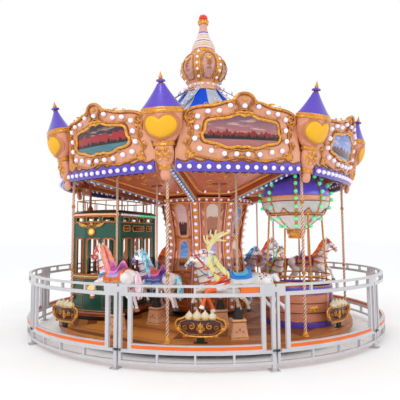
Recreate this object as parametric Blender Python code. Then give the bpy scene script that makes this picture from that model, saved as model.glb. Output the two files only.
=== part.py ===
"""Fairground carousel: a turntable ride with an eight-sided canopy inside a round fence.

Metres, +Z up. The origin is on the ground at the centre of the ride. A direction round the
ride is an angle in degrees from -Y towards +X, and the middle of the front canopy side is at 0.
"""

import math

import bmesh
import bpy
from mathutils import Euler, Matrix, Vector

# Fit between pieces
SEAT_GAP = 0.0003
RUNNING_GAP = 0.005

# Fence
FENCE_PANELS = 10
FENCE_STEP = 360.0 / FENCE_PANELS
FENCE_FIRST = -13.3
FENCE_RADIUS = 3.096
FENCE_DEPTH = 0.042
FENCE_CHORD = 6.0
FOOT_SIZE = 0.12
FOOT_THICKNESS = 0.008
POST_WIDTH = 0.046
END_BAR_WIDTH = 0.032
UPRIGHT_WIDTH = 0.050
BALUSTER_WIDTH = 0.025
BOTTOM_RAIL = (0.075, 0.108)
LOWER_RAIL = (0.203, 0.241)
BAND_TOP = 0.312
SECOND_RAIL = (0.8725, 0.9175)
TOP_RAIL = (0.985, 1.015)

# Turntable
SIDES = 8
SIDE_STEP = 360.0 / SIDES
CORNER = SIDE_STEP / 2
DECK_RADIUS = 2.62
DECK_BOTTOM = 0.100
DECK_TOP = 0.190
HUB_RADIUS = 0.50
BASE_BEAM_WIDTH = 0.12
BASE_RING = (2.10, 2.24)

# Column
COLUMN_BOTTOM = 0.27
COLUMN_PROFILE = ((0.735, 0.27), (0.80, 0.33), (0.81, 0.62), (0.765, 0.86), (0.725, 1.12),
                  (0.690, 1.42), (0.735, 1.80), (0.815, 2.15), (0.840, 2.27))
PLINTH_RADIUS = 0.62

# Canopy frame
POST_RADIUS = 2.526
POLE_RADIUS = 0.021
BEAM_START = (0.90, 2.25)
BEAM_END = 2.548
BEAM_SLOPE = 0.235
BEAM_DEPTH = 0.085
BEAM_WIDTH = 0.11
RIM_Z = (2.64, 2.74)
RIM_OUTER = 2.45
RIM_OUTER_HALF = 0.66
RIM_END_HALF = 0.70
RIM_END_DROP = 0.010
RIM_INNER = 2.30
RIM_INNER_HALF = 0.9015
BOARD_LEAN = 0.12
HEAD_RING = (0.862, 0.935)
HEAD_RING_Z = (2.17, 2.27)

# Ceiling
CEILING_THICKNESS = 0.020
CEILING_INNER = 0.875
CEILING_OUTER = 2.457
SLOT_LENGTH = 0.25
SLOT_WIDTH = 0.060

# Rounding boards and turrets
BOARD_THICKNESS = 0.045
BOARD_LOW = 2.470
BOARD_HALF = 0.885
BOARD_BOW = 0.12
BOARD_TOP = ((0.0, 3.550), (0.150, 3.500), (0.250, 3.400), (0.430, 3.330), (0.600, 3.235),
             (0.660, 3.198), (0.800, 3.120), (0.868, 2.840), (0.885, 2.780))
TURRET_LEAN = math.radians(10.7)
TURRET_FOOT = (2.606, 2.341)
TURRET_PROFILE = ((0.0, 0.0), (0.076, 0.080), (0.118, 0.150), (0.116, 0.455), (0.158, 0.510),
                  (0.262, 0.780), (0.268, 0.885), (0.300, 0.900), (0.300, 0.955), (0.045, 1.275),
                  (0.060, 1.320), (0.0, 1.440))
TURRET_CUT_TOP = 2.70
TURRET_FLATNESS = 0.62
BRACKET_HALF = 0.05
CORNER_PLATE = ((0.19, 2.600), (0.27, 3.110))
CORNER_PLATE_DEPTH = 0.022

# Roof and crown
DRUM_RADIUS = 2.44
ROOF_THICKNESS = 0.020
ROOF_PROFILE = ((0.360, 4.365), (0.405, 4.290), (0.510, 4.150), (0.670, 3.975), (0.950, 3.750),
                (1.400, 3.510), (1.950, 3.280), (2.440, 3.120))
CROWN_PROFILE = ((0.0, 0.0), (0.355, 0.0), (0.355, 0.050), (0.325, 0.070), (0.325, 0.150),
                 (0.280, 0.175), (0.345, 0.270), (0.425, 0.380), (0.445, 0.480), (0.410, 0.620),
                 (0.330, 0.745), (0.255, 0.780), (0.255, 0.835), (0.236, 0.860), (0.0, 0.860))
SPIRE_PROFILE = ((0.0, 0.0), (0.232, 0.0), (0.222, 0.090), (0.170, 0.220), (0.112, 0.350),
                 (0.088, 0.450), (0.080, 0.560), (0.105, 0.590), (0.105, 0.650), (0.060, 0.660),
                 (0.085, 0.710), (0.055, 0.760), (0.0, 0.7707))

# Tram carriage
TRAM_PLACE = (1.675, -93.8)
TRAM_TURN = -32.3
TRAM_HALF = (0.475, 0.615)
TRAM_WALL = 0.040
TRAM_BOW = 0.10
TRAM_FLAT = 0.16
TRAM_FLOOR = 0.33
TRAM_SILL = 0.94
TRAM_HEAD = 1.57
TRAM_FANLIGHT = (1.854, 1.934)
TRAM_EAVES = 1.966
TRAM_ROOF_TOP = 2.068
TRAM_RAIL_TOP = 2.229

# Balloon ride
BALLOON_PLACE = (1.836, 45.5)
BASKET_RADIUS = 0.545
BASKET_WALL = 0.040
BASKET_FLOOR = 0.26
BASKET_RIM = 0.72
BASKET_ENTRANCE = 55.0
ENVELOPE_PROFILE = ((0.0, 1.545), (0.135, 1.545), (0.150, 1.640), (0.140, 1.690), (0.430, 1.925),
                    (0.520, 2.050), (0.558, 2.180), (0.550, 2.290), (0.500, 2.420), (0.400, 2.540),
                    (0.240, 2.610), (0.0, 2.630))
ENVELOPE_RING = (0.4673, 1.945)
ENVELOPE_SIDES = 20
CEILING_HOLE = 0.525

# Animals: place radius, direction, turn from the direction of travel, height above mid stroke
SADDLE_MID = 1.07
OUTER_ROW = 2.20
INNER_ROW = 1.38
ANIMALS = (("horse_pink", OUTER_ROW, -48.2, 0.0, 0.03),
           ("horse_white", INNER_ROW, -46.0, 0.0, -0.07),
           ("reindeer", OUTER_ROW, 0.8, 0.0, -0.02),
           ("horse_cream", INNER_ROW, -1.0, 0.0, -0.10),
           ("horse_red_mane", OUTER_ROW, 135.0, 0.0, 0.09),
           ("horse_grey", INNER_ROW, 135.0, 0.0, -0.09),
           ("horse_chestnut", 2.14, 92.0, 50.0, 0.09),
           ("horse_green", INNER_ROW, 90.0, 0.0, -0.05),
           ("horse_blue", OUTER_ROW, 180.0, 0.0, -0.06),
           ("horse_gold", INNER_ROW, 177.0, 0.0, 0.07),
           ("horse_violet", OUTER_ROW, -135.0, 0.0, 0.05),
           ("horse_orange", INNER_ROW, -141.0, 0.0, -0.08))
RIDE_POLE = 0.020
POLE_FOOT = 0.33
POLE_HEAD = 2.80
PEDESTAL_TOP = 0.45
BOOT_TOP = 0.60

# Signs: place radius, direction and facing
SIGNS = ((2.588, -69.0, -50.0), (2.43, -12.5, -18.0), (2.50, 44.0, 33.0), (2.44, 103.0, 103.0),
         (2.44, 168.0, 168.0), (2.44, -130.0, -130.0))
SIGN_OUTLINE = ((0.0, 0.0), (0.05, 0.0), (0.05, 0.075), (0.20, 0.075), (0.27, 0.14), (0.33, 0.19),
                (0.34, 0.30), (0.25, 0.33), (0.15, 0.43), (0.0, 0.40))
SIGN_THICKNESS = 0.04


def compass(radius, degrees, height=0.0):
    """A point at a radius and a direction round the ride."""
    angle = math.radians(degrees)
    return Vector((radius * math.sin(angle), -radius * math.cos(angle), height))


def material(name, colour, roughness, metallic=0.0):
    """A plain finish, made once for each name."""
    found = bpy.data.materials.get(name)
    if found:
        return found
    made = bpy.data.materials.new(name)
    made.use_nodes = True
    shader = made.node_tree.nodes["Principled BSDF"]
    shader.inputs["Base Color"].default_value = (*colour, 1.0)
    shader.inputs["Roughness"].default_value = roughness
    shader.inputs["Metallic"].default_value = metallic
    return made


def add_object(name, shape, finish, place=(0.0, 0.0, 0.0), turn=0.0, lean=0.0):
    """Put a bmesh in the scene as one named object, turned about Z after it leans about X."""
    bmesh.ops.recalc_face_normals(shape, faces=shape.faces)
    mesh = bpy.data.meshes.new(name)
    shape.to_mesh(mesh)
    shape.free()
    mesh.materials.append(finish)
    thing = bpy.data.objects.new(name, mesh)
    thing.location = place
    thing.rotation_euler = Euler((lean, 0.0, math.radians(turn)))
    bpy.context.scene.collection.objects.link(thing)
    return thing


def join_loops(shape, loops, around):
    """Skin between neighbouring loops of points; around also joins the last to the first."""
    rows = []
    for loop in loops:
        if len(loop) == 1:
            vertex = shape.verts.new(loop[0])
            rows.append([vertex])
        else:
            rows.append([shape.verts.new(point) for point in loop])
    pairs = list(zip(rows, rows[1:]))
    if around:
        pairs.append((rows[-1], rows[0]))
    for low, high in pairs:
        count = max(len(low), len(high))
        for i in range(count):
            j = (i + 1) % count
            corners = [low[i % len(low)], low[j % len(low)], high[j % len(high)], high[i % len(high)]]
            distinct = list(dict.fromkeys(corners))
            shape.faces.new(distinct)
    return rows


def band(loops):
    """A closed ring-shaped solid whose section passes through the loops."""
    shape = bmesh.new()
    join_loops(shape, loops, True)
    return shape


def loft(loops):
    """A solid skinned through the loops, with flat or pointed ends."""
    shape = bmesh.new()
    rows = join_loops(shape, loops, False)
    for row in (rows[0], rows[-1]):
        if len(row) > 2:
            shape.faces.new(row)
    return shape


def circle(radius, height, sides, phase=0.0):
    """Points of a level polygon whose first corner is in the direction phase."""
    if radius == 0.0:
        return [Vector((0.0, 0.0, height))]
    return [compass(radius, phase + 360.0 * i / sides, height) for i in range(sides)]


def turned(profile, sides, phase=0.0, base=0.0):
    """A turned solid from radius and height pairs, low to high."""
    return loft([circle(radius, base + height, sides, phase) for radius, height in profile])


def slab(outline, thickness):
    """A plate in the X-Z plane, mirrored from the half outline, with its back at y = 0."""
    half = list(outline)
    other = [(-x, z) for x, z in reversed(half) if x > 0.0]
    points = half + other
    front = [Vector((x, -thickness, z)) for x, z in points]
    back = [Vector((x, 0.0, z)) for x, z in points]
    return loft([front, back])


def box(low, high):
    """A block between two corners."""
    x0, y0, z0 = low
    x1, y1, z1 = high
    corners = ((x0, y0), (x1, y0), (x1, y1), (x0, y1))
    return loft([[Vector((x, y, z0)) for x, y in corners], [Vector((x, y, z1)) for x, y in corners]])


def tube(points, radii, sides):
    """A round bar through the points; each radius is a number or a width and height pair."""
    path = [Vector(point) for point in points]
    side = Vector((0.0, 1.0, 0.0))
    loops = []
    for i, point in enumerate(path):
        ahead = path[min(i + 1, len(path) - 1)] - path[max(i - 1, 0)]
        across = (side - ahead * side.dot(ahead) / ahead.length_squared).normalized()
        up = ahead.cross(across).normalized()
        size = radii[i] if isinstance(radii[i], tuple) else (radii[i], radii[i])
        loop = []
        for step in range(sides):
            angle = 2.0 * math.pi * (step + 0.5) / sides
            loop.append(point + across * (size[0] * math.cos(angle)) + up * (size[1] * math.sin(angle)))
        loops.append(loop)
    return loft(loops)


def cells(us, vs, ws, filled, place):
    """A solid from the filled cells of a grid; place turns grid values into a point."""
    shape = bmesh.new()
    made = {}

    def corner(i, j, k):
        if (i, j, k) not in made:
            made[i, j, k] = shape.verts.new(place(us[i], vs[j], ws[k]))
        return made[i, j, k]

    def is_filled(i, j, k):
        if not (0 <= i < len(us) - 1 and 0 <= j < len(vs) - 1 and 0 <= k < len(ws) - 1):
            return False
        middle = ((us[i] + us[i + 1]) / 2, (vs[j] + vs[j + 1]) / 2, (ws[k] + ws[k + 1]) / 2)
        return filled(*middle)

    walls = (((1, 0, 0), ((1, 0, 0), (1, 1, 0), (1, 1, 1), (1, 0, 1))),
             ((-1, 0, 0), ((0, 0, 0), (0, 0, 1), (0, 1, 1), (0, 1, 0))),
             ((0, 1, 0), ((0, 1, 0), (0, 1, 1), (1, 1, 1), (1, 1, 0))),
             ((0, -1, 0), ((0, 0, 0), (1, 0, 0), (1, 0, 1), (0, 0, 1))),
             ((0, 0, 1), ((0, 0, 1), (1, 0, 1), (1, 1, 1), (0, 1, 1))),
             ((0, 0, -1), ((0, 0, 0), (0, 1, 0), (1, 1, 0), (1, 0, 0))))
    for i in range(len(us) - 1):
        for j in range(len(vs) - 1):
            for k in range(len(ws) - 1):
                if not is_filled(i, j, k):
                    continue
                for step, quad in walls:
                    if not is_filled(i + step[0], j + step[1], k + step[2]):
                        shape.faces.new([corner(i + a, j + b, k + c) for a, b, c in quad])
    bmesh.ops.recalc_face_normals(shape, faces=shape.faces)
    shape.normal_update()
    bmesh.ops.dissolve_limit(shape, angle_limit=math.radians(0.2), verts=shape.verts,
                             edges=shape.edges)
    return shape


def combine(base, others, operation="UNION", solver="EXACT"):
    """Fuse other objects with the base, or cut them from it, and remove them."""
    for other in others:
        change = base.modifiers.new(operation.title(), "BOOLEAN")
        change.operation = operation
        change.solver = solver
        change.object = other
    bpy.context.view_layer.update()
    view = bpy.context.evaluated_depsgraph_get()
    result = bpy.data.meshes.new_from_object(base.evaluated_get(view))
    base.modifiers.clear()
    base.data = result
    for other in others:
        bpy.data.objects.remove(other)
    return base


def smooth(thing, degrees=40.0):
    """Shade a round piece smooth, with its sharp edges kept."""
    thing.data.shade_smooth()
    thing.data.set_sharp_from_angle(angle=math.radians(degrees))


def fence_panel(index, finish):
    """One tenth of the round fence: rails, balusters, a footed post and a free end bar."""
    middle = FENCE_FIRST + FENCE_STEP * index
    to_degrees = 180.0 / math.pi / FENCE_RADIUS
    half_post = POST_WIDTH / 2 * to_degrees
    half_end = END_BAR_WIDTH / 2 * to_degrees
    half_upright = UPRIGHT_WIDTH / 2 * to_degrees
    half_baluster = BALUSTER_WIDTH / 2 * to_degrees
    half_foot = FOOT_SIZE / 2 * to_degrees
    post = FENCE_STEP / 2 - 0.5
    left_end = post - FENCE_STEP + 1.2
    uprights = (post - FENCE_STEP + 3.6, post - 2.3)
    plate_left = (left_end - half_end, left_end + 1.8)
    plate_right = (post - 3.1, post + half_post)
    reach = left_end + FENCE_STEP - half_end - SEAT_GAP * to_degrees
    balusters = (-8.45, 0.0, 8.45)
    steps = {plate_left[0], left_end + half_end, plate_left[1], plate_right[0],
             post - half_foot, post - half_post, post + half_post, reach, post + half_foot}
    for angle in uprights:
        steps.update((angle - half_upright, angle + half_upright))
    for angle in balusters:
        steps.update((angle - half_baluster, angle + half_baluster))
    steps.update(FENCE_CHORD * knot for knot in range(-2, 4) if FENCE_CHORD * knot < post - half_post)
    inner = FENCE_RADIUS - FENCE_DEPTH / 2
    outer = FENCE_RADIUS + FENCE_DEPTH / 2
    radii = [FENCE_RADIUS - FOOT_SIZE / 2, inner, outer, FENCE_RADIUS + FOOT_SIZE / 2]
    heights = [0.0, FOOT_THICKNESS, *BOTTOM_RAIL, *LOWER_RAIL, BAND_TOP, *SECOND_RAIL, *TOP_RAIL]

    def within(value, limits):
        return limits[0] < value < limits[1]

    def filled(angle, radius, height):
        if height < FOOT_THICKNESS:
            return abs(angle - post) < half_foot
        if not within(radius, (inner, outer)):
            return False
        if abs(angle - post) < half_post:
            return True
        if within(height, (SECOND_RAIL[1], TOP_RAIL[0])):
            if within(angle, plate_left) or within(angle, (plate_right[0], reach)):
                return True
            return min(abs(angle - at) for at in balusters) < half_baluster
        if angle > post or angle < plate_left[0]:
            return False
        if within(height, SECOND_RAIL) or within(height, TOP_RAIL):
            return True
        if within(height, BOTTOM_RAIL) or within(height, LOWER_RAIL):
            return True
        if height > BOTTOM_RAIL[0] and abs(angle - left_end) < half_end:
            return True
        if within(height, (LOWER_RAIL[1], BAND_TOP)):
            return within(angle, (uprights[0] - half_upright, uprights[1] + half_upright))
        if within(height, (BAND_TOP, SECOND_RAIL[0])):
            return min(abs(angle - at) for at in uprights) < half_upright
        if within(height, (BOTTOM_RAIL[1], LOWER_RAIL[0])):
            return min(abs(angle - at) for at in balusters) < half_baluster
        return False

    def on_chords(angle, radius, height):
        knot = math.floor(angle / FENCE_CHORD) * FENCE_CHORD
        along = (angle - knot) / FENCE_CHORD
        return compass(radius, knot, height).lerp(compass(radius, knot + FENCE_CHORD, height), along)

    shape = cells(sorted(steps), radii, heights, filled, on_chords)
    return add_object(f"fence_panel_{index}", shape, finish, turn=middle)


def base_frame(finish):
    """The fixed frame on the ground: a hub, eight beams and a ring under the deck."""
    top = DECK_BOTTOM - RUNNING_GAP
    hub = add_object("base_frame", turned(((HUB_RADIUS, 0.0), (HUB_RADIUS, DECK_BOTTOM - SEAT_GAP)),
                                          16), finish)
    low, high = BASE_RING
    loops = [circle(high, 0.0, 32), circle(high, top, 32), circle(low, top, 32), circle(low, 0.0, 32)]
    parts = [add_object("ring", band(loops), finish)]
    half = BASE_BEAM_WIDTH / 2
    for index in range(SIDES // 2):
        beam = box((-(low + 0.02), -half, 0.001), (low + 0.02, half, top - 0.001))
        parts.append(add_object("beam", beam, finish, turn=CORNER + SIDE_STEP * index))
    return combine(hub, parts)


def pedestal(place, direction, finish):
    """The tapered box under an animal, with the soft boot that its pole slides in."""
    low = [Vector((x * 0.125, y * 0.115, DECK_TOP - 0.01)) for x, y in ((-1, -1), (1, -1), (1, 1), (-1, 1))]
    high = [Vector((x * 0.095, y * 0.085, PEDESTAL_TOP)) for x, y in ((-1, -1), (1, -1), (1, 1), (-1, 1))]
    spot = compass(place, direction)
    base = add_object("pedestal", loft([low, high]), finish, spot, direction)
    boot = turned(((0.070, PEDESTAL_TOP - 0.01), (0.062, PEDESTAL_TOP + 0.05), (0.034, BOOT_TOP)), 8)
    return [base, add_object("boot", boot, finish, spot, direction)]


def deck(finish):
    """The round platform with a pedestal for each animal."""
    edge = ((DECK_RADIUS - 0.02, DECK_BOTTOM), (DECK_RADIUS, DECK_BOTTOM + 0.015),
            (DECK_RADIUS, DECK_TOP - 0.01), (DECK_RADIUS - 0.01, DECK_TOP))
    plate = add_object("deck", turned(edge, 48), finish)
    parts = []
    for name, place, direction, turn, lift in ANIMALS:
        parts += pedestal(place, direction, finish)
    combine(plate, parts)
    holes = []
    for name, place, direction, turn, lift in ANIMALS:
        sleeve = turned(((RIDE_POLE + SEAT_GAP, DECK_TOP + 0.01), (RIDE_POLE + SEAT_GAP, BOOT_TOP + 0.01)), 8)
        holes.append(add_object("sleeve", sleeve, finish, compass(place, direction), direction))
    return combine(plate, holes, "DIFFERENCE")


def column(finish):
    """The hourglass column, eight-sided, on a smaller round plinth."""
    add_object("column_plinth", turned(((PLINTH_RADIUS, DECK_TOP + SEAT_GAP),
                                        (PLINTH_RADIUS, COLUMN_BOTTOM - SEAT_GAP)), 32), finish)
    return add_object("column", turned(COLUMN_PROFILE, SIDES, CORNER), finish)


def beam_height(radius):
    """Height of a canopy beam's middle line at a corner radius."""
    return BEAM_START[1] + BEAM_SLOPE * (radius - BEAM_START[0])


def bow(x):
    """How far a rounding board and the rim behind it stand out at x from their middle."""
    return BOARD_BOW * (1.0 - (x / BOARD_HALF) ** 2)


def rim_loop(apothem, half, height, bowed):
    """Eight long sides facing the boards, bowed or straight, with the corners cut across."""
    right = [x for x, top in BOARD_TOP if x <= RIM_OUTER_HALF] + [RIM_END_HALF]
    line = [-x for x in reversed(right[1:])] + right
    points = []
    for index in range(SIDES):
        turn = Matrix.Rotation(math.radians(SIDE_STEP * index), 3, "Z")
        for x in line:
            out = bow(x) / math.cos(math.atan(BOARD_LEAN)) if bowed else 0.0
            if bowed and abs(x) == RIM_END_HALF:
                out = -RIM_END_DROP
            points.append(turn @ Vector((x * half / RIM_END_HALF, -apothem - out, height)))
    return points


def canopy_frame(finish):
    """Eight corner posts, the radial beams over them, the ring at the column and the rim."""
    rise = (RIM_Z[1] - RIM_Z[0]) * BOARD_LEAN
    outer = RIM_OUTER - SEAT_GAP
    rim = band([rim_loop(outer, RIM_END_HALF, RIM_Z[0], True),
                rim_loop(outer + rise, RIM_END_HALF, RIM_Z[1], True),
                rim_loop(RIM_INNER, RIM_INNER_HALF, RIM_Z[1], False),
                rim_loop(RIM_INNER, RIM_INNER_HALF, RIM_Z[0], False)])
    inner, outer = HEAD_RING
    low, high = HEAD_RING_Z
    ring = band([circle(outer, low, SIDES, CORNER), circle(outer, high, SIDES, CORNER),
                 circle(inner, high, SIDES, CORNER), circle(inner, low, SIDES, CORNER)])
    frame = add_object("canopy_frame", ring, finish)
    parts = []
    half = BEAM_WIDTH / 2
    depth = BEAM_DEPTH / 2
    start = HEAD_RING[1] - 0.03
    for index in range(SIDES):
        direction = CORNER + SIDE_STEP * index
        ends = []
        for radius in (start, BEAM_END):
            middle = beam_height(radius)
            ends.append([Vector((-half, -radius, middle - depth)), Vector((half, -radius, middle - depth)),
                         Vector((half, -radius, middle + depth)), Vector((-half, -radius, middle + depth))])
        parts.append(add_object("beam", loft(ends), finish, turn=direction))
        foot = DECK_TOP + SEAT_GAP
        profile = ((0.050, foot), (0.032, foot + 0.022), (POLE_RADIUS, foot + 0.085),
                   (POLE_RADIUS, beam_height(POST_RADIUS)))
        parts.append(add_object("post", turned(profile, 8), finish, compass(POST_RADIUS, direction)))
    parts.append(add_object("rim", rim, finish))
    return combine(frame, parts, solver="MANIFOLD")


def ceiling_height(corner_radius):
    """Underside of the ceiling, just over the beams."""
    return beam_height(corner_radius) + BEAM_DEPTH / 2 + SEAT_GAP


def ceiling(finish):
    """The eight-sided sloping ceiling, with slots for the poles and a hole for the balloon."""
    low, high = CEILING_INNER, CEILING_OUTER
    thick = CEILING_THICKNESS
    sheet = band([circle(high, ceiling_height(high), SIDES, CORNER),
                  circle(high, ceiling_height(high) + thick, SIDES, CORNER),
                  circle(low, ceiling_height(low) + thick, SIDES, CORNER),
                  circle(low, ceiling_height(low), SIDES, CORNER)])
    plate = add_object("ceiling", sheet, finish)
    cuts = []
    for name, place, direction, turn, lift in ANIMALS:
        slot = box((-SLOT_LENGTH / 2, -SLOT_WIDTH / 2, 2.0), (SLOT_LENGTH / 2, SLOT_WIDTH / 2, 3.0))
        cuts.append(add_object("slot", slot, finish, compass(place, direction), direction))
    hole = turned(((CEILING_HOLE, 2.0), (CEILING_HOLE, 3.0)), 32)
    cuts.append(add_object("hole", hole, finish, compass(*BALLOON_PLACE)))
    return combine(plate, cuts, "DIFFERENCE")


def rounding_board(index, finish):
    """The crested board over one side, bowed and leaning out with the canopy, and its valance."""
    columns = [(-x, top) for x, top in reversed(BOARD_TOP[1:])] + list(BOARD_TOP)
    sections = []
    for x, top in columns:
        back, front = -bow(x), -bow(x) - BOARD_THICKNESS
        sections.append([Vector((x, back, 0.0)), Vector((x, front, 0.0)),
                         Vector((x, front, top - BOARD_LOW)), Vector((x, back, top - BOARD_LOW))])
    lean = math.atan(BOARD_LEAN)
    apothem = RIM_OUTER + (BOARD_LOW - RIM_Z[0]) * BOARD_LEAN
    direction = SIDE_STEP * index
    board = add_object(f"rounding_board_{index}", loft(sections), finish,
                       compass(apothem, direction, BOARD_LOW), direction, lean)
    smooth(board)
    return board


def turret(index, finish):
    """An oval corner turret, leaning out, on a bracket and a plate at the beam end."""
    direction = CORNER + SIDE_STEP * index
    radius, height = TURRET_FOOT
    shape = turned(TURRET_PROFILE, 10)
    for vertex in shape.verts:
        vertex.co.y *= TURRET_FLATNESS
    body = add_object(f"turret_{index}", shape, finish, compass(radius, direction, height), direction,
                      TURRET_LEAN)
    seat = -(BEAM_END + SEAT_GAP)
    middle = beam_height(BEAM_END)
    bracket = box((-BRACKET_HALF, -(radius + BRACKET_HALF), middle - 0.9 * BEAM_DEPTH / 2),
                  (BRACKET_HALF, seat, middle + 0.9 * BEAM_DEPTH / 2))
    plate = loft([[Vector((-half, seat - 0.0002, z)), Vector((half, seat - 0.0002, z)),
                   Vector((half, seat - CORNER_PLATE_DEPTH, z)),
                   Vector((-half, seat - CORNER_PLATE_DEPTH, z))] for half, z in CORNER_PLATE])
    combine(body, [add_object("bracket", bracket, finish, turn=direction),
                   add_object("plate", plate, finish, turn=direction)])
    back = box((-0.2, seat, height - 0.2), (0.2, -2.2, TURRET_CUT_TOP))
    return combine(body, [add_object("back", back, finish, turn=direction)], "DIFFERENCE")


def roof(finish):
    """The tent roof: a hollow concave cone on a straight drum that stands on the rim."""
    sides = 16
    outer = [(DRUM_RADIUS, RIM_Z[1] + SEAT_GAP)] + list(reversed(ROOF_PROFILE))
    inner = [(radius - ROOF_THICKNESS, height - ROOF_THICKNESS) for radius, height in ROOF_PROFILE]
    inner[0] = (ROOF_PROFILE[0][0] - ROOF_THICKNESS, ROOF_PROFILE[0][1])
    inner.append((DRUM_RADIUS - ROOF_THICKNESS, RIM_Z[1] + SEAT_GAP))
    loops = [circle(radius, height, sides, CORNER) for radius, height in outer + inner]
    return add_object("roof", band(loops), finish)


def tram_shape(us, vs, ws, filled):
    """Cells in the tram's own frame, with both ends bowed out."""
    def place(x, y, z):
        slope = (TRAM_HALF[0] - abs(x)) / (TRAM_HALF[0] - TRAM_FLAT)
        bow = TRAM_BOW * min(1.0, slope)
        reach = y / TRAM_HALF[1]
        return Vector((x, y + bow * reach, z))
    return cells(us, vs, ws, filled, place)


def tram(body_finish, roof_finish):
    """The tram carriage: an open-windowed body with a floor, and its railed roof."""
    half_x, half_y = TRAM_HALF
    wall = TRAM_WALL
    spot = compass(*TRAM_PLACE)
    end_windows = ((-0.40, -0.19), (-0.13, 0.13), (0.19, 0.40))
    bends = (-TRAM_FLAT, TRAM_FLAT)
    side_windows = ((-0.52, -0.22), (-0.15, 0.15), (0.22, 0.52))
    fanlights = ((-0.50, -0.30), (-0.22, -0.03), (0.03, 0.22), (0.30, 0.50))
    xs = sorted({-half_x, -half_x + wall, half_x - wall, half_x, *bends,
                 *(x for pair in end_windows for x in pair)})
    ys = sorted({-half_y, -half_y + wall, half_y - wall, half_y, *(y for pair in side_windows for y in pair),
                 *(y for pair in fanlights for y in pair)})
    zs = [DECK_TOP + SEAT_GAP, TRAM_FLOOR, TRAM_SILL, TRAM_HEAD, *TRAM_FANLIGHT, TRAM_EAVES]

    def open_at(value, pairs):
        return any(low < value < high for low, high in pairs)

    def filled(x, y, z):
        if z < TRAM_FLOOR:
            return True
        at_end = abs(y) > half_y - wall
        at_side = abs(x) > half_x - wall
        if not (at_end or at_side):
            return False
        if at_end and at_side:
            return True
        if TRAM_FANLIGHT[0] < z < TRAM_FANLIGHT[1]:
            return not open_at(x, end_windows) if at_end else not open_at(y, fanlights)
        if TRAM_SILL < z < TRAM_HEAD:
            return not open_at(x, end_windows) if at_end else not open_at(y, side_windows)
        if z < TRAM_SILL and at_side and x < 0.0:
            return not open_at(y, side_windows[1:2])
        return True

    add_object("tram_body", tram_shape(xs, ys, zs, filled), body_finish, spot, TRAM_TURN)

    bar = 0.016
    posts_x = (-0.43, -0.215, 0.0, 0.215, 0.43)
    posts_y = (-0.57, -0.285, 0.0, 0.285, 0.57)
    xs = sorted({-half_x, half_x, *bends, *(x + d for x in posts_x for d in (-bar / 2, bar / 2))})
    ys = sorted({-half_y, half_y, *(y + d for y in posts_y for d in (-bar / 2, bar / 2))})
    zs = [TRAM_EAVES + SEAT_GAP, TRAM_ROOF_TOP, TRAM_RAIL_TOP - bar, TRAM_RAIL_TOP]

    def near(value, places):
        return min(abs(value - place) for place in places) < bar / 2

    def roof_filled(x, y, z):
        if z < TRAM_ROOF_TOP:
            return True
        at_end = near(abs(y), posts_y[-1:]) and abs(x) < posts_x[-1] + bar / 2
        at_side = near(abs(x), posts_x[-1:]) and abs(y) < posts_y[-1] + bar / 2
        if z > TRAM_RAIL_TOP - bar:
            return at_end or at_side
        return (at_end and near(x, posts_x)) or (at_side and near(y, posts_y))

    top = add_object("tram_roof", tram_shape(xs, ys, zs, roof_filled), roof_finish, spot, TRAM_TURN)
    turn = Matrix.Rotation(math.radians(TRAM_TURN), 3, "Z")
    foot = spot + turn @ Vector((-0.25, -0.45, 0.0))
    corner_radius = foot.to_2d().length / math.cos(math.radians(CORNER))
    head = ceiling_height(corner_radius) - 0.06
    stay = turned(((0.05, TRAM_ROOF_TOP - 0.01), (POLE_RADIUS, TRAM_ROOF_TOP + 0.06),
                   (POLE_RADIUS, head)), 10)
    return combine(top, [add_object("stay", stay, roof_finish, foot)])


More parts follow.
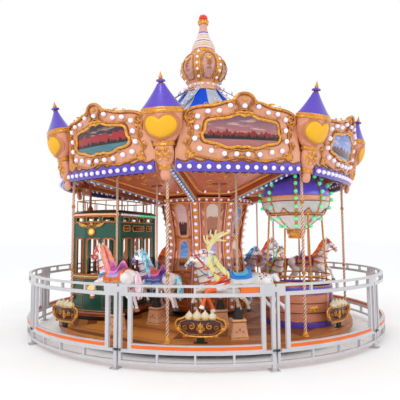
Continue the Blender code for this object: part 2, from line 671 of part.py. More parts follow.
def balloon(basket_finish, frame_finish, envelope_finish):
    """The balloon ride: a round tub with an entrance, four posts with rails, and the envelope."""
    spot = compass(*BALLOON_PLACE)
    turn = BALLOON_PLACE[1] + 180.0
    outer, inner = BASKET_RADIUS, BASKET_RADIUS - BASKET_WALL
    foot = DECK_TOP + SEAT_GAP
    half = BASKET_ENTRANCE / 2
    angles = [-half + BASKET_ENTRANCE * i / 3 for i in range(4)]
    angles += [half + (360.0 - BASKET_ENTRANCE) * i / 16 for i in range(1, 17)]

    def ring(radius, height, some):
        return [compass(radius, angle, height) for angle in some]

    floor = loft([ring(outer, foot, angles[:-1]), ring(outer, BASKET_FLOOR, angles[:-1])])
    basket = add_object("balloon_basket", floor, basket_finish, spot, turn)
    wall_angles = angles[3:]
    low = BASKET_FLOOR - 0.02
    wall = loft([[compass(inner, a, low), compass(outer - 0.001, a, low), compass(outer - 0.001, a, BASKET_RIM),
                  compass(inner, a, BASKET_RIM)] for a in wall_angles])
    combine(basket, [add_object("wall", wall, basket_finish, spot, turn)])

    ring_radius, ring_height = ENVELOPE_RING
    rail_radius = outer - 0.02
    thick = 0.013
    low_rail, high_rail = 0.865, 0.965
    post_angles = (45.0, 135.0, 225.0, 315.0)

    def hoop(radius, height, some, closed):
        loops = [[compass(radius + x, a, height + z) for x, z in
                  ((-thick, -thick), (thick, -thick), (thick, thick), (-thick, thick))] for a in some]
        return band(loops) if closed else loft(loops)

    full = [360.0 * i / ENVELOPE_SIDES for i in range(ENVELOPE_SIDES)]
    frame = add_object("balloon_posts", hoop(ring_radius, ring_height, full, True), frame_finish, spot, turn)
    parts = []
    for height in (low_rail, high_rail):
        parts.append(add_object("rail", hoop(rail_radius, height, wall_angles[1:-1], False), frame_finish,
                                spot, turn))
    for angle in post_angles:
        start = [compass(rail_radius + x, angle + y, BASKET_RIM + SEAT_GAP) for x, y in
                 ((-0.016, -1.7), (0.016, -1.7), (0.016, 1.7), (-0.016, 1.7))]
        knee = [point + Vector((0.0, 0.0, low_rail - BASKET_RIM)) for point in start]
        shift = compass(ring_radius, angle, ring_height) - compass(rail_radius, angle, low_rail)
        parts.append(add_object("post", loft([start, knee, [point + shift for point in knee]]),
                                frame_finish, spot, turn))
    combine(frame, parts)

    shape = turned(ENVELOPE_PROFILE, ENVELOPE_SIDES)
    return add_object("balloon_envelope", shape, envelope_finish, spot, turn)


# Animal shapes from the pole, nose towards -X: (x, z) body line with (half width, half depth)
HORSE_BODY = (((0.40, -0.10), (0.05, 0.06)), ((0.34, -0.12), (0.11, 0.12)), ((0.21, -0.14), (0.13, 0.14)),
              ((0.0, -0.16), (0.12, 0.13)), ((-0.20, -0.13), (0.12, 0.14)), ((-0.29, 0.02), (0.09, 0.12)),
              ((-0.35, 0.22), (0.06, 0.08)), ((-0.41, 0.29), (0.055, 0.07)),
              ((-0.48, 0.24), (0.045, 0.055)), ((-0.55, 0.16), (0.035, 0.035)))
HORSE_LEGS = (((-0.22, -0.12), (-0.34, -0.30), (-0.25, -0.50), 0.075),
              ((-0.20, -0.12), (-0.40, -0.22), (-0.46, -0.43), -0.075),
              ((0.28, -0.12), (0.22, -0.34), (0.36, -0.58), 0.085),
              ((0.31, -0.12), (0.32, -0.34), (0.45, -0.54), -0.085))
HORSE_TAIL = ((0.36, -0.06), (0.46, -0.07), (0.48, -0.34))
DEER_BODY = (((0.51, -0.08), (0.04, 0.05)), ((0.44, -0.10), (0.10, 0.11)), ((0.26, -0.13), (0.125, 0.14)),
             ((0.0, -0.15), (0.12, 0.13)), ((-0.22, -0.12), (0.12, 0.14)), ((-0.33, 0.01), (0.09, 0.12)),
             ((-0.40, 0.17), (0.07, 0.09)), ((-0.45, 0.29), (0.055, 0.07)),
             ((-0.54, 0.31), (0.045, 0.050)), ((-0.63, 0.28), (0.032, 0.030)))
DEER_LEGS = (((-0.24, -0.12), (-0.40, -0.28), (-0.34, -0.50), 0.075),
             ((-0.22, -0.12), (-0.44, -0.20), (-0.52, -0.42), -0.075),
             ((0.38, -0.10), (0.36, -0.34), (0.58, -0.54), 0.080),
             ((0.40, -0.10), (0.44, -0.30), (0.66, -0.46), -0.080))
DEER_TAIL = ((0.48, -0.05), (0.55, 0.00), (0.58, -0.05))
ANTLER = ((-0.43, 0.02, 0.28), (-0.36, 0.08, 0.46), (-0.27, 0.13, 0.55), (-0.16, 0.15, 0.59))
ANTLER_TINES = (((-0.36, 0.08, 0.46), (-0.45, 0.11, 0.55)), ((-0.27, 0.13, 0.55), (-0.33, 0.17, 0.62)),
                ((-0.30, 0.11, 0.52), (-0.19, 0.10, 0.47)))


def animal(name, place, direction, turn, lift, finish):
    """One ride animal facing the way the ride turns, with the pole that it slides on."""
    spot = compass(place, direction, SADDLE_MID + lift)
    is_deer = name == "reindeer"
    body = DEER_BODY if is_deer else HORSE_BODY
    path = [(x, 0.0, z) for (x, z), size in body]
    main = add_object(name, tube(path, [size for line, size in body], 8), finish, spot, direction + turn)
    parts = []

    def add_bar(points, radii):
        parts.append(add_object("bar", tube(points, radii, 4), finish, spot, direction + turn))

    for hip, knee, hoof, side in (DEER_LEGS if is_deer else HORSE_LEGS):
        add_bar([(x, side, z) for x, z in (hip, knee, hoof)], [0.070, 0.038, 0.040])
    add_bar([(x, 0.0, z) for x, z in (DEER_TAIL if is_deer else HORSE_TAIL)], [0.03, 0.05, 0.025])
    if is_deer:
        for hand in (-1.0, 1.0):
            for bar in (ANTLER, *ANTLER_TINES):
                points = [(x, y * hand, z) for x, y, z in bar]
                add_bar(points, [0.020] * (len(points) - 1) + [0.010])
    pole = turned(((RIDE_POLE, POLE_FOOT + lift), (RIDE_POLE, POLE_HEAD + lift)), 8)
    parts.append(add_object("pole", pole, finish, compass(place, direction), direction))
    return combine(main, parts)


def sign(index, place, direction, facing, finish):
    """A standing cartouche near the edge of the deck."""
    shape = slab(SIGN_OUTLINE, SIGN_THICKNESS)
    return add_object(f"sign_{index}", shape, finish, compass(place, direction, DECK_TOP + SEAT_GAP),
                      facing)


def main():
    for old in list(bpy.data.objects):
        bpy.data.objects.remove(old)
    white = material("fence paint", (0.68, 0.67, 0.72), 0.4)
    steel = material("frame steel", (0.10, 0.10, 0.11), 0.6, 0.6)
    wood = material("deck wood", (0.55, 0.26, 0.10), 0.5)
    salmon = material("salmon paint", (0.78, 0.30, 0.16), 0.4)
    terracotta = material("terracotta paint", (0.52, 0.13, 0.06), 0.5)
    gold = material("gold paint", (0.80, 0.45, 0.12), 0.35, 0.5)
    peach = material("peach paint", (0.85, 0.45, 0.28), 0.4)
    blue = material("roof blue", (0.02, 0.13, 0.62), 0.5)
    green = material("tram green", (0.02, 0.09, 0.06), 0.4)
    violet = material("balloon violet", (0.10, 0.05, 0.55), 0.3)
    horse = material("animal paint", (0.80, 0.78, 0.76), 0.3)
    maroon = material("sign maroon", (0.20, 0.03, 0.02), 0.4)

    for index in range(FENCE_PANELS):
        fence_panel(index, white)
    base_frame(steel)
    deck(wood)
    smooth(column(salmon), 20.0)
    canopy_frame(gold)
    ceiling(terracotta)
    for index in range(SIDES):
        rounding_board(index, peach)
        smooth(turret(index, peach))
    roof(blue)
    top = ROOF_PROFILE[0][1] + SEAT_GAP
    smooth(add_object("crown", turned(CROWN_PROFILE, 16, base=top), gold))
    smooth(add_object("spire", turned(SPIRE_PROFILE, 12, base=top + CROWN_PROFILE[-1][1] + SEAT_GAP), peach))
    tram(green, green)
    smooth(balloon(salmon, gold, violet))
    for index, (place, direction, facing) in enumerate(SIGNS):
        sign(index, place, direction, facing, maroon)
    for name, place, direction, turn, lift in ANIMALS:
        smooth(animal(name, place, direction, turn, lift, horse), 60.0)


main()
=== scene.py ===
"""Looks of a fairground carousel, laid out as a Blender add-on and run as a script.

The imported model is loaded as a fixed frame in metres. Each operator makes one group of pieces, in
the frame's own coordinates, and lets it ride on the body that carries it. A direction round the
ride is in degrees from -Y towards +X, with the middle of the front canopy side at 0.
"""

import math

import bmesh
import bpy
from bpy.props import FloatProperty, FloatVectorProperty, PointerProperty
from mathutils import Matrix, Vector


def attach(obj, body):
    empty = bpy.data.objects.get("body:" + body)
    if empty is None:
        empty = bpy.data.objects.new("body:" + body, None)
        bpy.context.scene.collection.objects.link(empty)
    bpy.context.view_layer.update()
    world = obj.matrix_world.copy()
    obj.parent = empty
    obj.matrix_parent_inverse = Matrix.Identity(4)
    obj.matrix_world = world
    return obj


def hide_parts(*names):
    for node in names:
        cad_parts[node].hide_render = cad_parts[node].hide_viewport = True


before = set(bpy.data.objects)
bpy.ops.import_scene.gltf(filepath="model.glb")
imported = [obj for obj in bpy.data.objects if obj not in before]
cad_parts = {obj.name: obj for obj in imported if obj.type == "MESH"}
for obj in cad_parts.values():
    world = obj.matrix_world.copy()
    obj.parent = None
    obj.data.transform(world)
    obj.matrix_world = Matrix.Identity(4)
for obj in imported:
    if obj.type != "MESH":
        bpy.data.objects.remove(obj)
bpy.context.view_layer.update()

bl_info = {"name": "Fairground Carousel", "version": (1, 0, 0), "blender": (4, 5, 0),
        "location": "View3D > Sidebar > Carousel",
        "description": "Dresses a carousel with its canopy, animals, carriages, fence and lights",
        "category": "Object"}

SPIN = "turntable"
GROUND = "fixed_base"


def mm(*rows):
    """Rows of millimetres, as metres."""
    return tuple(tuple(value / 1000 for value in row) for row in rows)


# Turntable and column
DECK_TOP = 0.19
# What a piece stands clear of the one below it
STAND_GAP = 0.0003
SIDES = 8
SIDE_STEP = 360 / SIDES
CORNER = SIDE_STEP / 2
COLUMN_PROFILE = mm((270, 735), (330, 800), (620, 810), (860, 765), (1120, 725), (1420, 690), (1800, 735),
        (2150, 815), (2270, 840))

# Canopy
POST_RADIUS = 2.526
BEAM_START = (0.9, 2.25)
BEAM_SLOPE = 0.235
BEAM_DEPTH = 0.085
BEAM_WIDTH = 0.11
RIM_OUTER = 2.45
RIM_Z = (2.64, 2.74)
BOARD_LOW = 2.47
BOARD_HALF = 0.885
BOARD_BOW = 0.12
BOARD_LEAN = 0.12
BEAM_END = 2.548
TURRET_FOOT = (2.606, 2.341)
TURRET_LEAN = math.radians(10.7)
TURRET_FLATNESS = 0.62
ROOF_PROFILE = ((4.365, 0.36), (4.29, 0.405), (4.15, 0.51), (3.975, 0.67), (3.75, 0.95), (3.51, 1.4),
        (3.28, 1.95), (3.12, 2.44))
UP = (0, 0, 1)
HANDS = (-1, 1)
GORES = 12
# Gores of the roof and the direction where the first starts; lobes of the crown and the direction of the
# first rib
FIRST_GORE = -2.5
LOBES = 6
FIRST_RIB = -26.5

# Carriages
TRAM_PLACE = (1.675, -93.8)
TRAM_TURN = -32.3
TRAM_HALF = (0.475, 0.615)
TRAM_BOW = 0.1
TRAM_FLAT = 0.16
TRAM_SILL = 0.94
BALLOON_PLACE = (1.836, 45.5)
BASKET_RADIUS = 0.545

# Fence
FENCE_PANELS = 10
FENCE_STEP = 360 / FENCE_PANELS
FENCE_FIRST = -13.3
FENCE_RADIUS = 3.096
FENCE_DEPTH = 0.042
# Direction of a post from the start of its panel, and what the film stands off a rail
FENCE_POST = 17.5
FILM_GAP = 0.0012

# Animals: saddle height at mid stroke, and the places as in the frame
SADDLE_MID = 1.07
ANIMAL_PLACES = {"horse_pink": (2.2, -48.2, 0, 0.03), "horse_white": (1.38, -46, 0, -0.07),
        "reindeer": (2.2, 0.8, 0, -0.02), "horse_cream": (1.38, -1, 0, -0.1),
        "horse_red_mane": (2.2, 135, 0, 0.09), "horse_grey": (1.38, 135, 0, -0.09),
        "horse_chestnut": (2.14, 92, 50, 0.09), "horse_green": (1.38, 90, 0, -0.05),
        "horse_blue": (2.2, 180, 0, -0.06), "horse_gold": (1.38, 177, 0, 0.07),
        "horse_violet": (2.2, -135, 0, 0.05), "horse_orange": (1.38, -141, 0, -0.08)}


def compass(radius, degrees, height=0):
    """A point at a radius and a direction round the ride."""
    angle = math.radians(degrees)
    return Vector((radius * math.sin(angle), -radius * math.cos(angle), height))


def turn_z(degrees):
    """A turn about the vertical."""
    return Matrix.Rotation(math.radians(degrees), 4, "Z")


def shift(x, y, z):
    """A move."""
    return Matrix.Translation((x, y, z))


def between(pairs, value):
    """Reads a curve given as rising (key, value) pairs."""
    for (low, a), (high, b) in zip(pairs, pairs[1:]):
        if value <= high:
            part = max(0, (value - low) / (high - low))
            return a + (b - a) * part
    return pairs[-1][1]


def curve_through(points, steps, closed=False):
    """A smooth line through points of any dimension."""
    count = len(points)
    spans = count if closed else count - 1
    line = []
    for i in range(spans):
        if closed:
            four = [points[(i + k - 1) % count] for k in range(4)]
        else:
            four = [points[min(max(i + k - 1, 0), count - 1)] for k in range(4)]
        for step in range(steps):
            t = step / steps
            row = []
            for a, b, c, d in zip(*four):
                row.append(0.5 * (2 * b + (c - a) * t + (2 * a - 5 * b + 4 * c - d) * t * t
                                  + (3 * b - 3 * c + d - a) * t * t * t))
            line.append(tuple(row))
    if not closed:
        line.append(tuple(points[-1]))
    return line


def wheel(count):
    """(cosine, sine) pairs round a circle."""
    return [(math.cos(2 * math.pi * k / count), math.sin(2 * math.pi * k / count)) for k in range(count)]


def mirrored(half):
    """A closed outline from its right half, which starts and ends at x = 0."""
    return list(half) + [(-x, z) for x, z in reversed(half[1:-1])]


class Form:
    """A mesh in the making, with a finish for each face and a place for what is added."""

    def __init__(self):
        self.points, self.faces, self.finishes, self.indexes = [], [], [], []
        self.picture, self.tints, self.open_faces = {}, {}, set()
        self.place = Matrix()
        self.warp = None

    def add(self, points):
        start = len(self.points)
        for point in points:
            point = self.warp(Vector(point)) if self.warp else Vector(point)
            self.points.append(self.place @ point)
        return start

    def face(self, corners, finish, is_open=False):
        if finish not in self.finishes:
            self.finishes.append(finish)
        if is_open:
            self.open_faces.add(len(self.faces))
        self.faces.append(tuple(corners))
        self.indexes.append(self.finishes.index(finish))

    def quads(self, low, high, count, finish, around=True):
        """Faces between two rows that start at the points low and high."""
        for i in range(count if around else count - 1):
            j = (i + 1) % count
            self.face((low + i, low + j, high + j, high + i), finish(i) if callable(finish) else finish,
                    not around)

    def skin(self, rows, finish, around=True, ring=False, caps=True):
        """Faces between neighbouring rows of equal length; finish may be a function of row and column."""
        starts = [self.add(row) for row in rows]
        size = len(rows[0])
        pick = finish if callable(finish) else lambda r, i: finish
        for r, (low, high) in enumerate(zip(starts, starts[1:] + starts[:1] if ring else starts[1:])):
            self.quads(low, high, size, lambda i: pick(r, i), around)
        if caps and around and not ring:
            self.face(range(starts[0] + size - 1, starts[0] - 1, -1), pick(0, 0))
            self.face(range(starts[-1], starts[-1] + size), pick(0, 0))

    def lathe(self, profile, finish, sides=32, centre=(0, 0, 0), caps=True):
        """A turned form from (radius, height) pairs, low to high."""
        x, y, z = centre
        self.skin([[(x + max(r, 0.0004) * c, y + max(r, 0.0004) * s, z + height) for c,
                s in wheel(sides)] for r, height in profile], finish, caps=caps)

    def ball(self, centre, radius, finish, rings=4, sides=8, squash=1):
        """A round ball, as high as squash times its width."""
        x, y, z = centre
        rows = []
        for r in range(rings + 1):
            angle = math.pi * (r / rings - 0.5)
            wide = max(radius * math.cos(angle), 0.0003)
            level = z + radius * squash * math.sin(angle)
            rows.append([(x + wide * c, y + wide * s, level) for c, s in wheel(sides)])
        self.skin(rows, finish)

    def tube(self, path, size, finish, sides=6, closed=False, flat=1, up=(0, 1, 0)):
        """A bar along a path; size is a radius or a function of the way along, flat its depth ratio."""
        path = [Vector(point) for point in path]
        last = len(path) - 1
        rows = []
        for i, point in enumerate(path):
            ahead = path[(i + 1) % len(path)] - path[i - 1] if closed else \
                path[min(i + 1, last)] - path[max(i - 1, 0)]
            if ahead.length < 1e-9:
                ahead = Vector((0, 0, 1))
            ahead.normalize()
            side = ahead.cross(Vector(up))
            if side.length < 1e-4:
                side = ahead.cross(Vector((1, 0, 0.01)))
            side.normalize()
            deep = side.cross(ahead).normalized() * flat
            radius = size(i / max(last, 1)) if callable(size) else size
            rows.append([point + side * (radius * c) + deep * (radius * s) for c, s in wheel(sides)])
        self.skin(rows, finish, ring=closed)

    def hoop(self, path, size, finish, sides=6, **looks):
        """A bar along a closed path."""
        self.tube(path, size, finish, sides, True, **looks)

    def slab(self, outline, depths, finish):
        """A plate in the X-Z plane; depths are (y, inset) pairs from the back to the front."""
        size = len(outline)
        mid_x, mid_z = sum(x for x, z in outline) / size, sum(z for x, z in outline) / size
        rows = []
        for y, inset in depths:
            row = []
            for x, z in outline:
                away = Vector((x - mid_x, z - mid_z))
                away = away * max(0, 1 - inset / max(away.length, 1e-6))
                row.append((mid_x + away.x, y, mid_z + away.y))
            rows.append(row)
        self.skin(rows, finish)

    def block(self, low, high, finish):
        """A plain bar between two corners."""
        (x0, y0, z0), (x1, y1, z1) = low, high
        self.skin([[(x0, y0, z), (x1, y0, z), (x1, y1, z), (x0, y1, z)] for z in (z0, z1)], finish)

    def sheet(self, outline, y, finish, columns=18, rows=12):
        """A picture inside an outline in the X-Z plane, with its metres kept as picture coordinates."""
        low, high = min(z for x, z in outline), max(z for x, z in outline)
        first, lines = len(self.points), []
        for r in range(rows + 1):
            z = low + (high - low) * (0.002 + 0.996 * r / rows)
            hits = []
            for (x0, z0), (x1, z1) in zip(outline, outline[1:] + outline[:1]):
                if (z0 <= z) != (z1 <= z):
                    hits.append(x0 + (x1 - x0) * (z - z0) / (z1 - z0))
            left, right = min(hits), max(hits)
            lines.append([(left + (right - left) * c / columns, y, z) for c in range(columns + 1)])
        self.skin(lines, finish, around=False)
        for i, (x, _, z) in enumerate(sum(lines, [])):
            self.picture[first + i] = (x, z - low)

    def mesh(self, name):
        made = bpy.data.meshes.new(name)
        made.from_pydata([tuple(point) for point in self.points], [], self.faces)
        made.polygons.foreach_set("material_index", self.indexes)
        work = bmesh.new()
        work.from_mesh(made)
        bmesh.ops.recalc_face_normals(work, faces=[f for f in work.faces if f.index not in self.open_faces])
        work.to_mesh(made)
        work.free()
        for finish in self.finishes:
            made.materials.append(FINISHES[finish]())
        if self.picture:
            layer = made.uv_layers.new(name="picture")
            for loop in made.loops:
                layer.data[loop.index].uv = self.picture.get(loop.vertex_index, (0, 0))
        if self.tints:
            tint = made.attributes.new("board", "FLOAT", "POINT")
            tint.data.foreach_set("value", [self.tints.get(i, 0.5) for i in range(len(self.points))])
        made.validate()
        made.shade_smooth()
        made.set_sharp_from_angle(angle=math.radians(42))
        return made

    def put(self, name, slot, stands_for=(), body=SPIN):
        """Makes the form a piece of the frame."""
        return put(name, self.mesh(name), body, None, stands_for)


def put(name, mesh, body, matrix=None, stands_for=()):
    """Makes a piece from a mesh, at a place in the frame, riding on a body."""
    piece = bpy.data.objects.new(name, mesh)
    bpy.context.scene.collection.objects.link(piece)
    if matrix is not None:
        piece.matrix_world = matrix
    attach(piece, body)
    if stands_for:
        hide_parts(*stands_for)
    return piece


def linear(code):
    """Linear RGBA from an sRGB hex code, or a colour that is linear already."""
    if not isinstance(code, str):
        return tuple(code)
    parts = [int(code[i:i + 2], 16) / 255 for i in (1, 3, 5)]
    return (*[p / 12.92 if p <= 0.04045 else ((p + 0.055) / 1.055) ** 2.4 for p in parts], 1)


def add_node(tree, kind, inputs=(), **settings):
    """Adds a node; its inputs, by name or in order, are values, hex colours, nodes or sockets."""
    made = tree.nodes.new("ShaderNode" + kind)
    for key, value in settings.items():
        setattr(made, key, value)
    for name, value in inputs.items() if isinstance(inputs, dict) else enumerate(inputs):
        if isinstance(value, (bpy.types.Node, bpy.types.NodeSocket)):
            sockets = [s for s in getattr(value, "outputs", [value]) if s.enabled]
            tree.links.new(sockets[0], made.inputs[name])
        else:
            made.inputs[name].default_value = linear(value) if isinstance(value, str) else value
    return made


def start_material(name, roughness, metallic=0, coat=0, glow=0, glow_colour="#FFFFFF"):
    """A new material with its shader's plain values set."""
    made = bpy.data.materials.new(name)
    made.use_nodes = True
    shader = made.node_tree.nodes["Principled BSDF"]
    values = {"Roughness": roughness, "Metallic": metallic, "Coat Weight": coat, "Coat Roughness": 0.08}
    if glow > 0:
        values.update({"Emission Color": linear(glow_colour), "Emission Strength": glow})
    for key, value in values.items():
        shader.inputs[key].default_value = value
    return made, made.node_tree, shader


def paint_with(tree, shader, colour):
    """Feeds the shader's colour from a socket or from a mix node."""
    tree.links.new(getattr(colour, "outputs", {2: colour})[2], shader.inputs["Base Color"])


def mottled(tree, light, dark, patch_mm, amount=0.5):
    """A colour that drifts between two shades in soft patches of a real size."""
    where = add_node(tree, "TexCoord").outputs["Object"]
    noise = add_node(tree, "TexNoise", {"Vector": where, "Scale": 1000 / patch_mm, "Detail": 4,
            "Roughness": 0.6})
    spread = add_node(tree, "MapRange", (noise, 0.35, 0.65, 0, amount))
    return add_node(tree, "Mix", {0: spread, 6: linear(light), 7: linear(dark)}, data_type="RGBA"), where


def rough_skin(tree, shader, where, grain_mm, height_mm, strength=0.35):
    """Fine bumps of a real size, such as orange peel, grain or cast texture."""
    noise = add_node(tree, "TexNoise", {"Vector": where, "Scale": 1000 / grain_mm, "Detail": 3})
    bump = add_node(tree, "Bump", {"Height": noise, "Strength": strength, "Distance": height_mm / 1000})
    tree.links.new(bump.outputs[0], shader.inputs["Normal"])


def coated(name, light, dark, roughness, patch_mm, amount, skin=(), over=None, **levels):
    """A finish in two soft shades; skin is its bumps, over a function that draws on the colour."""
    made, tree, shader = start_material(name, roughness, **levels)
    colour, where = mottled(tree, light, dark, patch_mm, amount)
    paint_with(tree, shader, over(tree, colour, where) if over else colour)
    if skin:
        rough_skin(tree, shader, where, *skin)
    return made


def gelcoat(name, light, dark, roughness=0.32, coat=0.25, patch_mm=160, amount=0.45):
    """Gelcoat on moulded glass-fibre: glossy, with a faint orange peel and hand-sprayed shading."""
    return coated(name, light, dark, roughness, patch_mm, amount, (9, 0.6), coat=coat)


def gilding(name, light, dark, metallic=0.35, roughness=0.3):
    """Gold lacquer over moulded relief: a light gold and a brown umber gold mixed at random in patches."""
    return coated(name, light, dark, roughness, 34, 0.75, (14, 1.6, 0.5), metallic=metallic, coat=0.3)


def enamel(name, light, dark, roughness=0.3, metallic=0, coat=0.2):
    """Stoved enamel on steel: even, smooth and a little dusty in patches."""
    return coated(name, light, dark, roughness, 260, 0.5, (5, 0.25), metallic=metallic, coat=coat)


def opal_glass(name, colour, glow):
    """Opal glass of a small lit lamp: white through and through, brightest where it faces you."""
    return coated(name, colour, "#DCD6F4", 0.12, 30, 0.4, coat=0.5, glow=glow, glow_colour=colour)


def hardwood(name, light, dark):
    """Oiled hardwood boards: own tint per board, long grain streaks about 6 mm wide, and painted shade
    towards +X.
    """
    made, tree, shader = start_material(name, 0.45)
    where = add_node(tree, "TexCoord").outputs
    board = add_node(tree, "Attribute", attribute_name="board").outputs["Fac"]
    stretch = add_node(tree, "Mapping", {"Vector": where["UV"], "Scale": (2.2, 150, 1)})
    grain = add_node(tree, "TexNoise", {"Vector": stretch, "Scale": 1, "Detail": 6, "Distortion": 0.4})
    blend = add_node(tree, "Math", (grain, board), operation="ADD")
    spread = add_node(tree, "MapRange", (blend, 0.7, 1.3))
    base = add_node(tree, "Mix", {0: spread, 6: light, 7: dark}, data_type="RGBA")
    # Painted shade: the boards grow darker from x = -0.9 m to x = 0.5 m, mixed in at 55%
    apart = add_node(tree, "SeparateXYZ", (where["Object"],))
    side = add_node(tree, "MapRange", (apart, -0.9, 0.5))
    shade = add_node(tree, "Mix", {0: side, 6: base, 7: "#7E432B"}, data_type="RGBA")
    paint_with(tree, shader, add_node(tree, "Mix", {0: 0.55, 6: base, 7: shade}, data_type="RGBA"))
    bump = add_node(tree, "Bump", {"Height": grain, "Strength": 0.3, "Distance": 0.0006})
    tree.links.new(bump.outputs[0], shader.inputs["Normal"])
    return made


def canvas(name, tone):
    """Coated canvas: matt, a weave drawn at 8 mm so that it shows, and soft random patches of painted shade
    for hanging folds.
    """
    light = getattr(scene_settings(), tone)
    # The dark tone, about 0.55 of the colour, is painted shade
    made = coated(name, light, (light[0] * 0.55, light[1] * 0.55, light[2] * 0.6, 1), 0.55, 300, 0.6,
            (8, 0.5))
    made.node_tree.nodes["Principled BSDF"].inputs["Specular IOR Level"].default_value = 0.15
    return made


def rubber(name):
    """Black rubber of a dust boot: matt, with a grey bloom in patches."""
    return coated(name, "#0C0B0B", "#2A2725", 0.6, 20, 0.5, (3, 0.3))


def dappled(name):
    """Gelcoat of the reindeer: pale grey with dark oval spots about 30 mm wide over the back."""
    def spots(tree, colour, where):
        cells = add_node(tree, "TexVoronoi", {"Vector": where, "Scale": 21, "Randomness": 0.75})
        spot = add_node(tree, "MapRange", (cells, 0.26, 0.31, 1, 0))
        apart = add_node(tree, "SeparateXYZ", (where,))
        back = add_node(tree, "MapRange", (apart.outputs["Z"], -0.1, -0.06))
        rear = add_node(tree, "MapRange", (apart, 0.1, 0.2))
        both = add_node(tree, "Math", (back, rear), operation="MULTIPLY")
        shown = add_node(tree, "Math", (both, spot), operation="MULTIPLY")
        return add_node(tree, "Mix", {0: shown, 6: colour, 7: "#1B1A1C"}, data_type="RGBA")

    return coated(name, "#ECEAEA", "#C9C7CC", 0.28, 120, 0.5, (9, 0.6), spots, coat=0.3)


def sparkle(name, base, spark):
    """Lacquer with large metal flake: its glints painted in as pale spots of about 12 mm over a deep colour.
    """
    def painted_flake_glints(tree, colour, where):
        cells = add_node(tree, "TexVoronoi", {"Vector": where, "Scale": 80})
        # Painted highlight: pale glints mixed into the base colour
        glint = add_node(tree, "MapRange", (cells, 0.16, 0.28, 0.5, 0))
        return add_node(tree, "Mix", {0: glint, 6: colour, 7: spark}, data_type="RGBA")

    return coated(name, base, base, 0.28, 120, 0, (), painted_flake_glints, metallic=0.15, coat=0.4)


def quilting(name, light, dark, stitch):
    """Moulded quilting: diamonds about 25 mm wide pressed into glass-fibre, with darker seams."""
    made, tree, shader = start_material(name, 0.4, coat=0.15)
    where = add_node(tree, "TexCoord").outputs["UV"]
    base, _ = mottled(tree, light, dark, 200)
    waves = []
    for hand in (1, -1):
        lean = add_node(tree, "Mapping", {"Vector": where, "Rotation": (0, 0, math.radians(45) * hand)})
        wave = add_node(tree, "TexWave", {"Vector": lean, "Scale": 9}, wave_profile="SIN")
        waves.append(wave.outputs["Fac"])
    low = add_node(tree, "Math", waves, operation="MINIMUM")
    seam = add_node(tree, "MapRange", (low, 0, 0.12, 0.7, 0))
    paint_with(tree, shader, add_node(tree, "Mix", {0: seam, 6: base, 7: stitch}, data_type="RGBA"))
    bump = add_node(tree, "Bump", {"Height": low, "Strength": 0.5, "Distance": 0.004})
    tree.links.new(bump.outputs[0], shader.inputs["Normal"])
    return made


def scenery(name, sky, glow, hill, wood, water, height, ridge, shore, rough, seed=0):
    """A printed landscape under varnish: evening sky, a lit ridge, dark woods and still water."""
    made, tree, shader = start_material(name, 0.25, coat=0.15)
    where = add_node(tree, "TexCoord").outputs["UV"]
    apart = add_node(tree, "SeparateXYZ", (where,))
    up = add_node(tree, "Math", (apart.outputs["Y"], height), operation="DIVIDE")
    flat = add_node(tree, "CombineXYZ", (apart, seed))
    colour = add_node(tree, "Mix", {0: up, 6: glow, 7: sky}, data_type="RGBA")
    drift = add_node(tree, "Mapping", {"Vector": where, "Scale": (4, 22, 1), "Location": (seed, 0, 0)})
    cloud = add_node(tree, "TexNoise", {"Vector": drift, "Scale": 1, "Detail": 4})
    streak = add_node(tree, "MapRange", {0: cloud, 1: 0.52, 2: 0.7, 4: 0.45})
    colour = add_node(tree, "Mix", {0: streak, 6: colour, 7: "#F6D9C4"}, data_type="RGBA")
    for paint, level, swing, scale in ((hill, ridge, 0.34, rough), (wood, shore + 0.11, 0.3, rough * 1.7)):
        noise = add_node(tree, "TexNoise", {"Vector": flat, "Scale": scale, "Detail": 7, "Roughness": 0.62})
        top = add_node(tree, "MapRange", (noise, 0.25, 0.75, level - swing / 2, level + swing / 2))
        gap = add_node(tree, "Math", (top, up), operation="SUBTRACT")
        mask = add_node(tree, "MapRange", (gap, 0, 0.02))
        speck = add_node(tree, "TexNoise", {"Vector": where, "Scale": 90, "Detail": 2})
        lit = add_node(tree, "MapRange", {0: speck, 1: 0.5, 2: 0.62, 4: 0.55})
        shade = add_node(tree, "Mix", {0: lit, 6: paint, 7: "#1C1216"}, data_type="RGBA")
        colour = add_node(tree, "Mix", {0: mask, 6: colour, 7: shade}, data_type="RGBA")
    ripples = add_node(tree, "Mapping", {"Vector": where, "Scale": (5, 70, 1)})
    ripple = add_node(tree, "TexNoise", {"Vector": ripples, "Scale": 1, "Detail": 3})
    pool = add_node(tree, "Mix", {0: ripple, 6: water, 7: glow}, data_type="RGBA")
    wet = add_node(tree, "MapRange", (up, shore, shore - 0.02))
    paint_with(tree, shader, add_node(tree, "Mix", {0: wet, 6: colour, 7: pool}, data_type="RGBA"))
    return made


def envelope_skin(name):
    """Balloon shell of painted glass-fibre: violet crown, peach belt, pale grey below."""
    made, tree, shader = start_material(name, 0.2, coat=0.5)
    where = add_node(tree, "TexCoord").outputs["Object"]
    apart = add_node(tree, "SeparateXYZ", (where,))
    noise = add_node(tree, "TexNoise", {"Vector": where, "Scale": 9, "Detail": 3})
    colour = add_node(tree, "Mix", {0: noise, 6: "#DAD6D2", 7: "#B9B2AF"}, data_type="RGBA")
    for level, light, dark in ((2.144, "#F0B184", "#DE8F60"), (2.229, "#7868F4", "#6252E0")):
        paint = add_node(tree, "Mix", {0: noise, 6: light, 7: dark}, data_type="RGBA")
        above = add_node(tree, "MapRange", (apart.outputs["Z"], level, level + 0.002))
        colour = add_node(tree, "Mix", {0: above, 6: colour, 7: paint}, data_type="RGBA")
    paint_with(tree, shader, colour)
    return made


def studio_paper(name):
    """Matt studio paper, pale grey, with a faint fibre mottling."""
    return coated(name, "#FDFEFF", "#F7F9FA", 0.9, 900, 0.5)


